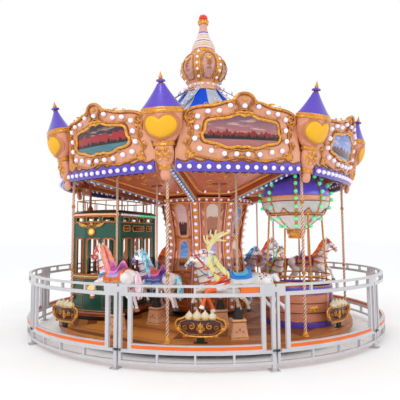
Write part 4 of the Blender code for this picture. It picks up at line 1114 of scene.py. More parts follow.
def make_turrets():
    """The oval corner turrets: pendant, banded vase, bulge with a heart, and violet spirelet."""
    form = Form()
    form.place = Matrix.Diagonal((1, TURRET_FLATNESS, 1, 1))
    form.lathe(mm((0, 0), (30, 4), (52, 18), (66, 45), (72, 75), (68, 105), (60, 135), (66, 152)),
            "salmon pink", 40)
    form.lathe(mm((66, 148), (90, 152), (96, 164), (88, 176), (94, 188), (90, 202), (80, 208)),
            "polished gold", 40)
    form.lathe(mm((80, 205), (98, 222), (118, 262), (131, 330), (133, 370), (127, 440), (121, 470)),
            "salmon pink", 40)
    form.lathe(mm((122, 460), (148, 466), (155, 478), (147, 490), (155, 502), (150, 516), (140, 522)),
            "polished gold", 40)
    form.lathe([(r, z) for z, r in TURRET_BULGE], "salmon pink", 40)
    form.lathe(mm((276, 880), (294, 884), (304, 898), (302, 916), (292, 926), (298, 940), (290, 956),
            (262, 960)), "polished gold", 40)
    form.lathe(mm((286, 952), (276, 966), (240, 1005), (190, 1068), (140, 1135), (92, 1205), (50, 1275)),
            "flake violet", 40)
    form.place = Matrix()
    form.lathe(mm((36, 1262), (40, 1270), (34, 1282), (28, 1296)), "brown gold", 20)
    form.lathe(mm((28, 1292), (60, 1300), (64, 1312), (56, 1324), (24, 1332)), "violet", 24)
    form.lathe(mm((20, 1328), (30, 1345), (28, 1362), (16, 1385), (8, 1415), (0, 1438)), "polished gold", 16)
    line = curve_through(mirrored(WIDE_HEART), 3, True)
    form.warp = on_turret(TURRET_BULGE)
    pillow(form, line, (0, 0.715), mm((990, 20), (990, -4), (950, -16), (860, -25), (680, -32), (420, -37),
            (140, -39)), "yellow acrylic")
    form.hoop([(x * 1.03, -0.006, 0.715 + z * 1.04) for x, z in line], 0.015, "toffee", 8)
    form.hoop([(x * 1.13, 0.002, 0.715 + z * 1.17) for x, z in line], 0.012, "salmon")
    form.warp = on_turret(TURRET_VASE)
    spray(form, 0, 0.405, 0.07, 0, "bright gold", -0.006)
    form.hoop([(0.03 * math.sin(t), -0.01, 0.345 + 0.022 * math.cos(t)) for t in (0, 1.05, 2.1, 3.14, 4.2,
            5.2)], 0.009, "bright gold")
    for hand in HANDS:
        volute(form, 0.07 * hand, 0.4, 0.04, "bright gold", -0.006, 180 - 90 * hand, hand)
    scrolls(form, "bright gold", (55, 295, 44, -6, 90, -1), (98, 345, 30, -6, -90, 1))
    leaves(form, "bright gold", (16, 350, 110, -6, 96, 0.16, -60), (16, 300, 90, -6, 140, 0.18, -40))
    back = Form()
    lean = Matrix.Rotation(TURRET_LEAN, 4, "X")
    radius, height = TURRET_FOOT
    seat = -(BEAM_END + 0.001)
    back.block((-0.05, -(radius + 0.05), 2.6), (0.05, seat, 2.674), "peach")
    rows = [[(-half, seat, z), (half, seat, z), (half, seat - 0.021, z), (-half, seat - 0.021, z)]
            for half, z in ((0.19, 2.6), (0.27, 3.11))]
    back.skin(rows, "peach")
    shape, plate = form.mesh("turret"), back.mesh("turret_bracket")
    for k in range(SIDES):
        corner = turn_z(CORNER + SIDE_STEP * k)
        put(f"turret_{k}", shape, SPIN, corner @ shift(0, -radius, height) @ lean,
            stands_for=[f"turret_{k}"])
        put(f"turret_bracket_{k}", plate, SPIN, corner)


def make_roof():
    """Twelve canvas gores that sag between the hips, over a drum, with seams and rails of lamps."""
    settings = scene_settings()
    form = Form()
    seams = Form()
    fine = curve_through([(r, z) for z, r in ROOF_PROFILE], 4)
    across = 14
    step_out = 360 / GORES

    def gore_point(r, z, part, lift=0):
        """A point of a gore: part runs from one hip at 0 to the next at 1."""
        reach = min(1, r / 2.44)
        sag = math.sin(math.pi * part)
        ripple = 0.008 * reach * math.sin(6 * math.pi * part + 3 * reach) * sag
        down = settings.canvas_sag * sag * reach * (1 - 0.45 * reach) + ripple
        return r * (1 - 0.03 * sag * reach), z - down + lift

    for k in range(GORES):
        finish = "blue canvas" if k % 2 == 1 else "white canvas"
        rows = []
        for r, z in fine:
            row = []
            for c in range(across + 1):
                reach, height = gore_point(r, z, c / across)
                row.append(compass(reach, FIRST_GORE + step_out * (k + c / across), height))
            rows.append(row)
        rows.append([compass(2.44, FIRST_GORE + step_out * (k + c / across),
                2.75) for c in range(across + 1)])
        form.skin(rows, finish, around=False)
        seams.tube([compass(r - 0.002, FIRST_GORE + step_out * k, z + 0.003) for r, z in fine], 0.009,
                "white canvas", up=(0.3, 0.1, 1))
        for frac in (0.333, 0.667):
            line = []
            for r, z in fine:
                reach, height = gore_point(r, z, frac, 0.002)
                line.append(compass(reach, FIRST_GORE + step_out * (k + frac), height))
            seams.tube(line, 0.005, finish, 5, up=(0.3, 0.1, 1))
    cloth = form.put("roof_canvas", "roof_canvas", ["roof"])
    sewn = seams.put("roof_seams", "roof_canvas")

    rails = Form()
    for k in (1, 2, 3, 5, 6, 7):
        rails.place = turn_z(SIDE_STEP * k)
        start, end = Vector((0, -0.345, 4.43)), Vector((0, -2.44, 3.24))
        line = [start.lerp(end, t / 8) + Vector((0, 0, -0.07 * math.sin(math.pi * t / 8))) for t in range(9)]
        rails.tube(line, 0.006, "black iron", up=(1, 0, 0))
        for step in range(12):
            part = (step + 0.7) / 12
            point = start.lerp(end, part) + Vector((0, 0, -0.07 * math.sin(math.pi * part)))
            rails.tube([point, point + Vector((0, 0, 0.04))], 0.004, "black iron", 5)
            bulb(rails, point + Vector((0, 0, 0.052)), 0.021, (0, 0, 1), "lilac lamp glass")
    rails.place = Matrix()
    for start, end in LAMP_BANDS:
        band = []
        for step in range(17):
            r = 0.36 + 0.75 * step / 16
            height = between([(radius, z) for z, radius in ROOF_PROFILE], r)
            band.append(compass(r + 0.012, start + (end - start) * (step / 16) ** 0.8, height + 0.02))
        band.insert(0, compass(0.355, start, ROOF_PROFILE[0][0] + 0.07))
        rails.tube(band, 0.034, "white canvas", 8, flat=0.3, up=(0.3, 0.1, 1))
        for step in range(0, 17, 2):
            point = band[step]
            bulb(rails, point + compass(0.03, start, 0.022), 0.022, compass(1, start, 0.8),
                    "lilac lamp glass")
    rails.put("roof_stay_rails", "crown_paint")


LAMP_BANDS = ((-26.5, -60), (33.5, 66), (93.5, 112), (153.5, 158), (-146.5, -157), (-86.5, -112))
CROWN_BULGE = mm((280, 172), (310, 215), (345, 270), (388, 325), (422, 385), (440, 440), (443, 490),
        (432, 555), (408, 620), (372, 685), (325, 745), (262, 785))
CROWN_FRONT = [(z, r) for r, z in CROWN_BULGE]


def make_crown():
    """The lit pumpkin crown and the finial over it."""
    base = ROOF_PROFILE[0][0] + STAND_GAP
    form = Form()

    def turned(level, finish, sides, *profile):
        """A turned part of the form, in millimetres over a level."""
        form.lathe([(r, level + z) for r, z in mm(*profile)], finish, sides)

    turned(base, "polished gold", 48, (300, 0), (350, 1), (359, 8), (352, 16))
    turned(base, "pale peach", 48, (330, 14), (350, 18), (350, 50), (332, 68), (328, 150), (300, 168),
            (280, 178))
    fine = curve_through([(r, base + z) for r, z in CROWN_BULGE], 3)
    lobes = [0.95 + 0.05 * abs(math.sin(math.pi * LOBES * i / 72)) for i in range(72)]
    rows = [[compass(r * lobe, 5 * i + FIRST_RIB, z) for i, lobe in enumerate(lobes)] for r, z in fine]
    form.skin(rows, "mauve pink", caps=False)
    arch = mm((0, 735), (45, 725), (85, 690), (112, 640), (132, 560), (140, 470), (128, 380), (104, 300),
            (80, 240), (0, 225))
    line = heart(0.105, 0.105, 24)
    for k in range(LOBES):
        direction = FIRST_RIB + 360 / LOBES * k
        out = compass(1, direction)
        form.tube([compass(r * 0.985, direction, z) for r, z in fine], 0.05, "polished gold", 8, flat=0.35,
                up=out)
        for hand in HANDS:
            form.tube([compass(r * 0.992, direction + hand * math.degrees(0.05 / r), z) for r, z in fine],
                    0.014, "bright gold", up=out)
        for step in range(5):
            r, z = fine[5 + int(step * (len(fine) - 9) / 4)]
            bulb(form, compass(r + 0.022, direction, z), 0.029, compass(1, direction, 0.2), sides=10)
        direction += 180 / LOBES
        form.place = turn_z(direction) @ shift(0, 0, base)
        form.warp = lambda p: Vector((p.x, p.y - 0.014 - between(CROWN_FRONT, p.z) * (1 - 2.8 * p.x * p.x),
                p.z))
        form.hoop([(x, 0.004, z) for x, z in curve_through(mirrored(arch), 2, True)], 0.012, "gold")
        form.hoop([(x, -0.006, 0.59 + z) for x, z in line], 0.014, "bright gold")
        pillow(form, line, (0, 0.59), ((0.9, 0.01), (0.8, -0.01), (0.3, -0.016)), "cream gold")
        leaf(form, 0, 0.545, 0.2, 180, "brown gold", -0.002, 0.05)
        scrolls(form, "gold", (26, 470, 26, -2, 90, 1), (24, 385, 22, -2, 90, -1))
        leaves(form, "gold", (12, 540, 70, -2, 150, 0.2, -30))
        form.place, form.warp = Matrix(), None
        for part in (-18, 0, 18):
            bulb(form, compass(0.345, direction + part, base + 0.108), 0.022, compass(1, direction + part))
    turned(base, "bright gold", 40, (236, 778), (262, 790), (268, 806), (256, 818), (262, 834), (250, 850),
            (232, 860))
    form.put("crown_lantern", "crown_paint", ["crown"])

    form = Form()
    foot = base + 0.86 + STAND_GAP
    skirt = mm((232, 0), (230, 45), (222, 95), (204, 150), (176, 210), (146, 270), (120, 335), (100, 400),
            (88, 450), (80, 500), (78, 560))
    bands = ("violet", "blush", "cream", "rose", "pale leaf", "blush", "rose", "cream")
    rows = [[compass(r * (0.985 + 0.022 * math.sin(math.pi * i / 1.5)), 7.5 * k, foot + z) for k in range(48)]
            for i, (r, z) in enumerate(curve_through(skirt, 5))]
    form.skin(rows, lambda r, i: bands[(r // 2) % 8] if r < 34 else "rose")
    turned(foot, "bright gold", 28, (78, 552), (92, 560), (104, 580), (106, 604), (98, 622), (104, 638),
            (92, 652), (50, 660))
    for k in range(10):
        form.ball(compass(0.1, 36 * k, foot + 0.63), 0.016, "gold", 4, 6)
    turned(foot, "red", 28, (40, 652), (74, 662), (88, 682), (91, 704), (82, 732), (62, 754), (30, 767),
            (4, 770))
    for k in range(6):
        form.ball(compass(0.055, 60 * k, foot + 0.735), 0.026, "red")
    form.put("finial", "spire_paint", ["spire"])


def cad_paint(name, finish):
    """Gives a kept node of the frame its finish."""
    node = bpy.data.objects.get(name)
    if node is None:
        raise RuntimeError(f"the frame has no node {name}")
    for slot in node.material_slots:
        slot.material = FINISHES[finish]()


# Stations of the animals: (x, y, z, half width, half depth), nose towards -X, from the pole
HORSE_TRUNK = mm((405, 0, -95, 45, 55), (370, 0, -100, 90, 105), (300, 0, -115, 118, 138),
        (200, 0, -130, 128, 145), (80, 0, -150, 124, 135), (-50, 0, -150, 120, 132),
        (-170, 0, -132, 122, 145), (-250, 0, -105, 108, 140), (-300, 0, -80, 70, 100))
HORSE_NECK = mm((-200, 0, -90, 90, 145), (-245, 0, 0, 82, 125), (-285, 0, 80, 68, 100),
        (-320, 0, 165, 56, 80), (-350, 0, 240, 50, 68), (-370, 0, 285, 46, 60))
HORSE_HEAD = mm((-345, 0, 305, 40, 40), (-385, 0, 292, 50, 62), (-425, 0, 268, 50, 66),
        (-465, 0, 235, 43, 52), (-500, 0, 200, 36, 42), (-530, 0, 168, 36, 40), (-552, 0, 142, 31, 32))
HORSE_LIMBS = (mm((-215, 75, -140, 52, 80), (-270, 78, -220, 44, 52), (-335, 78, -292, 34, 37),
        (-312, 78, -360, 24, 26), (-268, 78, -440, 23, 25), (-252, 78, -482, 30, 32)),
        mm((-200, -75, -140, 52, 80), (-300, -78, -190, 44, 50), (-392, -78, -222, 34, 36),
        (-420, -78, -290, 24, 25), (-446, -78, -365, 23, 25), (-455, -78, -408, 30, 31)),
        mm((290, 80, -130, 62, 115), (240, 86, -240, 54, 78), (236, 88, -330, 38, 46),
        (300, 88, -425, 28, 32), (336, 88, -505, 23, 26), (352, 88, -560, 31, 32)),
        mm((310, -80, -130, 62, 115), (300, -86, -235, 54, 78), (325, -88, -320, 38, 46),
        (395, -88, -395, 28, 32), (425, -88, -470, 23, 26), (442, -88, -520, 31, 32)))
DEER_TRUNK = mm((520, 0, -75, 40, 50), (470, 0, -85, 90, 105), (390, 0, -105, 115, 135),
        (260, 0, -125, 125, 142), (110, 0, -145, 122, 134), (-40, 0, -145, 118, 130),
        (-180, 0, -125, 120, 144), (-270, 0, -95, 105, 138), (-330, 0, -65, 70, 100))
DEER_NECK = mm((-220, 0, -80, 90, 140), (-285, 0, 0, 82, 122), (-340, 0, 75, 72, 104), (-385, 0, 150, 62, 90),
        (-415, 0, 225, 52, 74), (-430, 0, 280, 46, 60))
DEER_HEAD = mm((-400, 0, 300, 40, 42), (-440, 0, 308, 50, 62), (-490, 0, 310, 48, 60), (-540, 0, 302, 40, 46),
        (-580, 0, 292, 33, 36), (-615, 0, 284, 32, 33), (-636, 0, 280, 26, 26))
DEER_LIMBS = (mm((-235, 75, -140, 52, 80), (-320, 78, -215, 44, 50), (-400, 78, -275, 33, 35),
        (-385, 78, -350, 23, 25), (-352, 78, -430, 22, 24), (-342, 78, -475, 28, 30)),
        mm((-220, -75, -140, 52, 80), (-330, -78, -170, 44, 50), (-440, -78, -200, 33, 35),
        (-472, -78, -275, 23, 25), (-505, -78, -355, 22, 24), (-518, -78, -398, 28, 30)),
        mm((390, 78, -120, 58, 110), (370, 84, -225, 50, 72), (385, 86, -320, 36, 42),
        (460, 84, -410, 26, 30), (530, 82, -480, 22, 25), (570, 80, -520, 29, 30)),
        mm((405, -78, -120, 58, 110), (415, -84, -210, 50, 70), (455, -86, -290, 36, 42),
        (540, -84, -360, 26, 30), (610, -82, -410, 22, 25), (650, -80, -440, 29, 30)))
ANTLER = mm((-430, 25, 320), (-395, 55, 410), (-345, 90, 480), (-270, 130, 545), (-200, 145, 580),
        (-150, 150, 600))
TINES = (mm((-385, 62, 420), (-440, 85, 480), (-455, 105, 555)), mm((-300, 115, 520), (-345, 150, 575),
        (-335, 170, 630)), ((-0.31, 0.11, 0.51), (-0.245, 0.1, 0.485), (-0.185, 0.1, 0.48)))


def limb(form, stations, finish, sides=12, steps=3):
    """A rounded limb through stations of place, half width and half depth."""
    fine = curve_through(stations, steps)
    rows = []
    for i, (x, y, z, wide, deep) in enumerate(fine):
        before, after = fine[max(i - 1, 0)], fine[min(i + 1, len(fine) - 1)]
        ahead = Vector(after[:3]) - Vector(before[:3])
        across = (Vector((0, 1, 0)) - ahead * (ahead.y / ahead.length_squared)).normalized()
        up = ahead.cross(across).normalized()
        centre = Vector((x, y, z))
        rows.append([centre + across * (wide * math.cos(2 * math.pi * k / sides))
                     + up * (deep * math.sin(2 * math.pi * k / sides)) for k in range(sides)])
    form.skin(rows, finish)


def band_round(form, stations, at, size, finish, swell=1.06, slope=0, flat=0.5):
    """A strap round a limb, at a part of its length; slope leans it along the limb."""
    fine = curve_through(stations, 6)
    index = min(int(at * (len(fine) - 1)), len(fine) - 2)
    x, y, z, wide, deep = fine[index]
    ahead = (Vector(fine[index + 1][:3]) - Vector(fine[max(index - 1, 0)][:3])).normalized()
    across = (Vector((0, 1, 0)) - ahead * ahead.y).normalized()
    up = ahead.cross(across).normalized()
    path = []
    for k in range(20):
        angle = 2 * math.pi * k / 20
        path.append(Vector((x, y, z)) + across * (wide * swell * math.cos(angle))
                    + up * (deep * swell * math.sin(angle)) + ahead * (slope * math.sin(angle)))
    form.hoop(path, size, finish, flat=flat, up=ahead)


def melt(form, name, grain):
    """Fuses rough shapes into one smooth skin."""
    rough = form.mesh(name + "_rough")
    thing = bpy.data.objects.new(name + "_rough", rough)
    bpy.context.scene.collection.objects.link(thing)
    fuse = thing.modifiers.new("fuse", "REMESH")
    fuse.mode = "VOXEL"
    fuse.voxel_size = grain
    soften = thing.modifiers.new("soften", "SMOOTH")
    soften.factor = 0.5
    soften.iterations = 4
    bpy.context.view_layer.update()
    made = bpy.data.meshes.new_from_object(thing.evaluated_get(bpy.context.evaluated_depsgraph_get()))
    made.name = name
    bpy.data.objects.remove(thing)
    bpy.data.meshes.remove(rough)
    made.shade_smooth()
    return made


def body_mesh(name, trunk, neck, head, limbs, is_deer):
    """The bare animal: trunk, neck, head, ears, legs and folds of muscle."""
    form = Form()
    coat = "white horse"
    limb(form, trunk, coat, 18, 4)
    limb(form, neck, coat, 14, 4)
    limb(form, head, coat, 14, 4)
    for stations in limbs:
        limb(form, stations, coat, 12, 4)
    poll = head[1]
    for hand in HANDS:
        x, z = poll[0], poll[2]
        form.ball((x - 0.055, 0.03 * hand, z - 0.03), 0.036, coat, 6, 10)
        form.ball((trunk[2][0] + 0.01, 0.085 * hand, trunk[2][2] + 0.01), 0.095, coat, 8, 12)
        form.ball((trunk[6][0] - 0.03, 0.065 * hand, trunk[6][2] - 0.01), 0.088, coat, 8, 12)
        nose = head[-2]
        form.ball((nose[0], 0.018 * hand, nose[2] + 0.008), 0.022, coat, 6, 8)
        if is_deer:
            ear = ((x + 0.01, 0.04 * hand, z + 0.02, 0.016, 0.018), (x + 0.05, 0.085 * hand, z + 0.02, 0.02,
                    0.024), (x + 0.085, 0.12 * hand, z + 0.01, 0.009, 0.012))
        else:
            ear = ((x + 0.022, 0.026 * hand, z + 0.03, 0.018, 0.018), (x + 0.026, 0.034 * hand, z + 0.072,
                    0.018, 0.022), (x + 0.012, 0.036 * hand, z + 0.118, 0.008, 0.009))
        limb(form, ear, coat, 8, 3)
    lip = head[-1]
    form.ball((lip[0] + 0.014, 0, lip[2] - 0.024), 0.02, coat, 6, 8)
    return melt(form, name, 0.0115)


def trunk_at(trunk, x):
    """Centre height, half width and half depth of the trunk at x."""
    rising = sorted((s[0], s[2], s[3], s[4]) for s in trunk)
    return (between([(a, b) for a, b, c, d in rising], x), between([(a, c) for a, b, c, d in rising], x),
            between([(a, d) for a, b, c, d in rising], x))


def saddle_cloth(form, trunk, start, stop, reach, out, thick, finish, rise=None, wave=0):
    """Cloth or leather laid over the trunk between two x values, down to an angle either side."""
    rows = []
    steps = 18
    across = 24
    for i in range(steps + 1):
        t = i / steps
        x = start + (stop - start) * t
        centre, wide, deep = trunk_at(trunk, x)
        lift = rise(t) if rise else 0
        outer, inner = [], []
        for k in range(across + 1):
            part = 2 * k / across - 1
            angle = math.radians(reach * part) * (1 + wave * math.sin(5 * math.pi * t))
            top = max(0, math.cos(angle)) ** 4 * lift
            for row, far in ((outer, out + thick), (inner, out)):
                row.append((x, (wide + far) * math.sin(angle),
                        centre + (deep + far) * math.cos(angle) + (top if far > out else top * 0.8)))
        rows.append(outer + inner[::-1])
    form.skin(rows, finish)
    return rows


def hanging(form, points, finish, size, alternate=None):
    """A fringe of small drops along a line."""
    for i, point in enumerate(points):
        paint = alternate if alternate and i % 2 else finish
        form.ball((point[0], point[1], point[2] - size * 0.5), size, paint, 4, 6, 1.4)


def eyes(form, head, is_deer):
    """Painted eyes, nostrils and mouth."""
    x, _, z = head[2][:3]
    for hand in HANDS:
        side = head[2][3] + (0.004 if is_deer else 0.006)
        form.ball((x + 0.004, hand * (side - 0.008), z + 0.018), 0.019, "white horse", 6, 10)
        form.ball((x + 0.001, hand * (side - 0.001), z + 0.018), 0.014, "ink black", 6, 10)
        # A small glowing dot of lamp glass on each eye: a painted highlight
        form.ball((x - 0.003, hand * (side + 0.011), z + 0.023), 0.0035, "opal lamp glass", 4, 6)
        brow = [(x + 0.028, hand * (side - 0.004), z + 0.026), (x + 0.004, hand * (side + 0.002), z + 0.042),
                (x - 0.022, hand * (side - 0.004), z + 0.034)]
        form.tube(curve_through(brow, 4), 0.0045, "ink black", 5)
        lip = head[-1]
        form.ball((lip[0] - 0.006, hand * 0.026, lip[2] + 0.018), 0.007, "pink", 4, 6)
        mouth = [(lip[0] - 0.02, hand * 0.012, lip[2] - 0.01), (lip[0] + 0.01, hand * 0.031, lip[2] - 0.006),
                (lip[0] + 0.042, hand * 0.036, lip[2] + 0.008)]
        form.tube(curve_through(mouth, 4), 0.0035, "ruby", 5)


def locks(form, roots, finishes, length, seed, back=0.7, width=0.026):
    """Wavy locks of hair that fall to both sides from a line of roots."""
    fine = curve_through(roots, 5)
    for i, root in enumerate(fine):
        for hand in HANDS:
            wobble = math.sin(seed + 2.3 * i + hand)
            reach = length * (0.85 + 0.25 * math.sin(seed * 1.7 + 1.1 * i))
            path = []
            for k in range(8):
                t = k / 7
                path.append((root[0] + back * reach * (t ** 1.1) + 0.018 * math.sin(5 * t + wobble),
                        hand * (0.01 + root[3] * math.sin(min(1,
                        1.5 * t) * math.pi / 2)) + 0.006 * math.sin(7 * t + wobble),
                        root[2] + 0.02 * math.sin(math.pi * min(1, 2.2 * t)) - reach * 0.95 * t ** 1.5))
            paint = finishes[(i + (1 if hand > 0 else 0)) % len(finishes)]
            form.tube(path, lambda t: width * (0.45 + 0.75 * math.sin(math.pi * min(1,
                    0.12 + 0.8 * t))) * (1 - 0.55 * t), paint, flat=0.62, up=(0, 1, 0.2))


def tail_of(form, root, finishes, length, sweep, seed):
    """A full wavy tail."""
    for k in range(11):
        spread = (k - 5) / 5
        path = []
        for i in range(10):
            t = i / 9
            path.append((root[0] + sweep * math.sin(min(1,
                    1.4 * t) * math.pi / 2) + 0.02 * math.sin(6 * t + seed + k),
                    0.034 * spread * (0.4 + t) + 0.008 * math.sin(7 * t + k + seed),
                    root[1] + 0.045 * math.sin(math.pi * min(1,
                    2.4 * t)) * (1 if t < 0.42 else 0) - length * t ** 1.35 * (1 - 0.1 * abs(spread))))
        form.tube(path, lambda t: 0.021 * (0.6 + 0.8 * math.sin(math.pi * min(1,
                0.15 + 0.75 * t))) * (1 - 0.6 * t * t), finishes[k % len(finishes)], flat=0.7)


def hoof(form, stations, finish, cuff=None):
    """A hoof under the last station, and a painted cuff of hair over it."""
    above, end = (Vector(station[:3]) for station in stations[-2:])
    down = (end - above).normalized()
    start = end - down * 0.006
    path = [start, start + down * 0.018, start + down * 0.042, start + down * 0.046]
    sizes = (0.031, 0.036, 0.041, 0.036)
    form.tube(path, lambda t: sizes[min(3, int(round(t * 3)))], finish, 12)
    if cuff:
        form.tube([start - down * 0.03, start - down * 0.01, start + down * 0.008],
                lambda t: 0.027 + 0.01 * t, cuff, 10)


# Colours of each animal: mane, tail, saddle, seat, blanket, trim, chest, bridle, hooves
DRESS = {"horse_pink": (("orange peach", "orange peach", "orange peach", "pink"), ("blush", "white horse"),
        "pink", "orchid", "orange", "bright gold", ("sky", "lilac"), "red", "copper hoof"),
        "horse_white": (("sky", "ice"), ("ice", "sky"), "pink", "orange", "plum", "sky", ("orchid", "plum"),
        "plum", "grey hoof"), "horse_cream": (("blue", "ice"), ("blue", "ice"), "ruby", "pink", "leaf",
        "bright gold", ("orange", "ruby"), "blue", "grey hoof"), "horse_red_mane": (("ruby", "orange"),
        ("ruby", "white horse"), "blue", "blue", "ruby", "bright gold", ("blue", "sky"), "blue", "grey hoof"),
        "horse_grey": (("blue", "sky"), ("blue", "sky"), "orchid", "pink", "orange", "leaf",
        ("ruby", "orchid"), "orange", "grey hoof"), "horse_chestnut": (("chestnut", "orange"),
        ("chestnut", "orange"), "plum", "ruby", "plum", "bright gold", ("orange", "bright gold"), "ruby",
        "copper hoof"), "horse_green": (("leaf", "ice"), ("leaf", "ice"), "blue", "orange", "pink",
        "bright gold", ("leaf", "blue"), "ruby", "grey hoof"), "horse_blue": (("blue", "navy"),
        ("blue", "sky"), "ruby", "orange", "sky", "bright gold", ("ruby", "pink"), "orange", "grey hoof"),
        "horse_gold": (("bright gold", "orange peach"), ("bright gold", "blush"), "plum", "blue", "leaf",
        "bright gold", ("plum", "orchid"), "plum", "copper hoof"), "horse_violet": (("plum", "lilac"),
        ("plum", "lilac"), "leaf", "pink", "orange", "bright gold", ("leaf", "sky"), "blue", "grey hoof"),
        "horse_orange": (("orange", "orange peach"), ("orange", "blush"), "sky", "blue", "ruby",
        "bright gold", ("sky", "blue"), "ruby", "copper hoof"), "reindeer": (("antler cream", "pale leaf"),
        ("white horse",), "blue", "sky", "dove grey", "antler cream", ("ruby", "orange"), "ruby",
        "white horse"),}


def dress_animal(name, trunk, neck, head, limbs):
    """Mane, tail, harness, hooves and eyes of one animal."""
    mane, tail, saddle, seat, blanket, trim, chest, bridle, hooves = DRESS[name]
    is_deer, full = name == "reindeer", name == "horse_pink"
    form = Form()
    seed = sum(ord(letter) for letter in name) * 0.1
    eyes(form, head, is_deer)
    for index, stations in enumerate(limbs):
        if is_deer and index < 2:
            fine = curve_through(stations[1:], 3)
            limb(form, [(x, y, z, w * 1.1, d * 1.1) for x, y, z, w, d in fine], "orange", 12, 1)
        hoof(form, stations, hooves, "white horse" if full and index < 2 else None)

    crest = [(x + deep * 0.8, 0, z + deep * 0.35, wide * 1.15) for x, y, z, wide, deep in neck[1:]]
    (poll_x, _, poll_z, poll_wide, _), (x3, _, z3, wide3, _), (x5, _, z5, wide5,
            _) = head[1], head[3], head[5]
    if is_deer:
        ruff = [(x - deep * 0.2, 0, z + 0.02, wide * 1.2) for x, y, z, wide, deep in neck[1:5]]
        locks(form, ruff, mane, 0.12, seed, 0.15, 0.028)
        locks(form, crest[:4], mane, 0.1, seed + 1, 0.5, 0.024)
        for hand in HANDS:
            for line, root, tip in ((ANTLER, 0.03, 0.014), *((tine, 0.018, 0.009) for tine in TINES)):
                path = [(x, y * hand, z) for x, y, z in curve_through(line, 4)]
                form.tube(path, lambda t: root + (tip - root) * t, "antler cream", 8)
        form.ball((head[-1][0] - 0.012, 0, head[-1][2] + 0.006), 0.02, "ruby", 6, 10)
        tail_of(form, (trunk[0][0] + 0.005, trunk[0][2] + 0.02), tail, 0.045, 0.06, seed)
    else:
        crest.append((neck[-1][0] + 0.02, 0, neck[-1][2] + 0.052, 0.04))
        locks(form, crest, mane, 0.24 if full else 0.19, seed, 0.7, 0.038 if full else 0.026)
        forelock = [(poll_x + 0.01, 0, poll_z + 0.058, 0.03), (poll_x - 0.01, 0, poll_z + 0.055, 0.026)]
        locks(form, forelock, mane, 0.07, seed + 2, -0.9, 0.017)
        sweep = 0.03 if name == "horse_gold" else 0.085
        tail_of(form, (trunk[0][0] + 0.002, trunk[0][2] + 0.03), tail, 0.345, sweep, seed)

    low, high = (-0.15, 0.27) if is_deer else (-0.135, 0.235)
    cloth = saddle_cloth(form, trunk, low, high, 96, 0.004, 0.01, blanket, wave=0.035)
    half = saddle_cloth(form, trunk, low + 0.05, high - 0.05, 74, 0.012, 0.008,
            blanket if is_deer else chest[1], wave=0.02)
    for side in (0, 24):
        edge = [row[side] for row in cloth]
        form.tube(edge, 0.012, trim)
        form.tube([row[side] for row in half], 0.008, trim)
        hanging(form, edge[::2], trim, 0.014, chest[0])
    for row in (cloth[0][:25], cloth[-1][:25]):
        form.tube(row, 0.009, trim, up=(1, 0, 0))
    saddle_cloth(form, trunk, low + 0.025, high - 0.095, 52, 0.016, 0.02, saddle,
            rise=lambda t: 0.075 * max(0, 1 - 4.5 * t) + 0.105 * max(0, 3.4 * t - 2.4))
    saddle_cloth(form, trunk, low + 0.075, high - 0.135, 34, 0.034, 0.014, seat,
            rise=lambda t: 0.025 * max(0, 1 - 4 * t) + 0.05 * max(0, 3.4 * t - 2.4))
    centre, wide, deep = trunk_at(trunk, 0.02)
    for hand in HANDS:
        strap = [(0.02, hand * (wide + out), centre + up) for out, up in mm((20, 30), (28, -40), (20, -110))]
        form.tube(strap, 0.01, bridle, flat=0.4)
        form.hoop(ellipse(0.02, hand * (wide + 0.024), centre - 0.135, 0.026, 0.028, 12), 0.006, trim)

    middle = len(trunk) - 3
    for step, paint, size in ((0, chest[0], 0.03), (0.035, chest[1], 0.024)):
        path = []
        for k in range(17):
            angle = math.radians(-100 + 12.5 * k)
            path.append((trunk[middle][0] + 0.015 - (0.15 if step else 0.16) * math.cos(angle),
                    (trunk[middle][3] + 0.016) * math.sin(angle), -0.055 - step - 0.055 * math.cos(angle)))
        form.tube(path, size, paint, 8, flat=0.45, up=UP)
        if step:
            hanging(form, path[2:-2], paint, 0.022, chest[0])
            hanging(form, path[2:-2:3], trim, 0.016)
    knot = trunk[middle][0] - 0.165
    form.ball((knot, 0, -0.135), 0.034, bridle, 6, 10)
    strap = 0.016 if full else 0.009
    band_round(form, trunk, 0.26 if is_deer else 0.3, 0.012, bridle, 1.03)
    band_round(form, neck, 0.55, 0.02, "orange" if is_deer else chest[0], 1.1, 0.015)
    if is_deer:
        band_round(form, neck, 0.12, 0.05, "orange", 1.02, 0.03)
    band_round(form, neck, 0.28, 0.014, bridle, 1.06, 0.02)
    for at, swell, slope in ((0.82, 1.1, 0), (0.56, 1.08, 0), (0.18, 1.1, -0.01)):
        band_round(form, head, at, strap, bridle, swell, slope)
    for hand in HANDS:
        leaf(form, knot, -0.135, 0.08, 180 + 30 * hand, bridle, 0.02 * hand, 0.24)
        cheek = [(poll_x + 0.005, hand * (poll_wide + 0.006), poll_z + 0.01),
                (x3, hand * (wide3 + 0.006), z3 - 0.008), (x5 + 0.01, hand * (wide5 + 0.006), z5)]
        form.tube(curve_through(cheek, 4), strap * 0.85, bridle)
        form.ball((x3 + 0.012, hand * (wide3 + 0.01), z3 - 0.006), 0.013, trim)
        ring = ellipse(x5 + 0.01, hand * (wide5 + 0.008), z5, 0.017, 0.017, 10)
        form.hoop(ring, 0.004, "bright gold", 5)
        rein = [(x5 + 0.015, hand * (wide5 + 0.008), z5), (neck[3][0] - 0.045, hand * (neck[3][3] + 0.02),
                neck[3][2] - 0.045), (neck[1][0] + 0.02, hand * (neck[1][3] + 0.04), neck[1][2] + 0.01),
                (-0.11, hand * 0.06, 0.04)]
        form.tube(curve_through(rein, 5), 0.006, bridle)
    return form.mesh(f"{name}_dress")


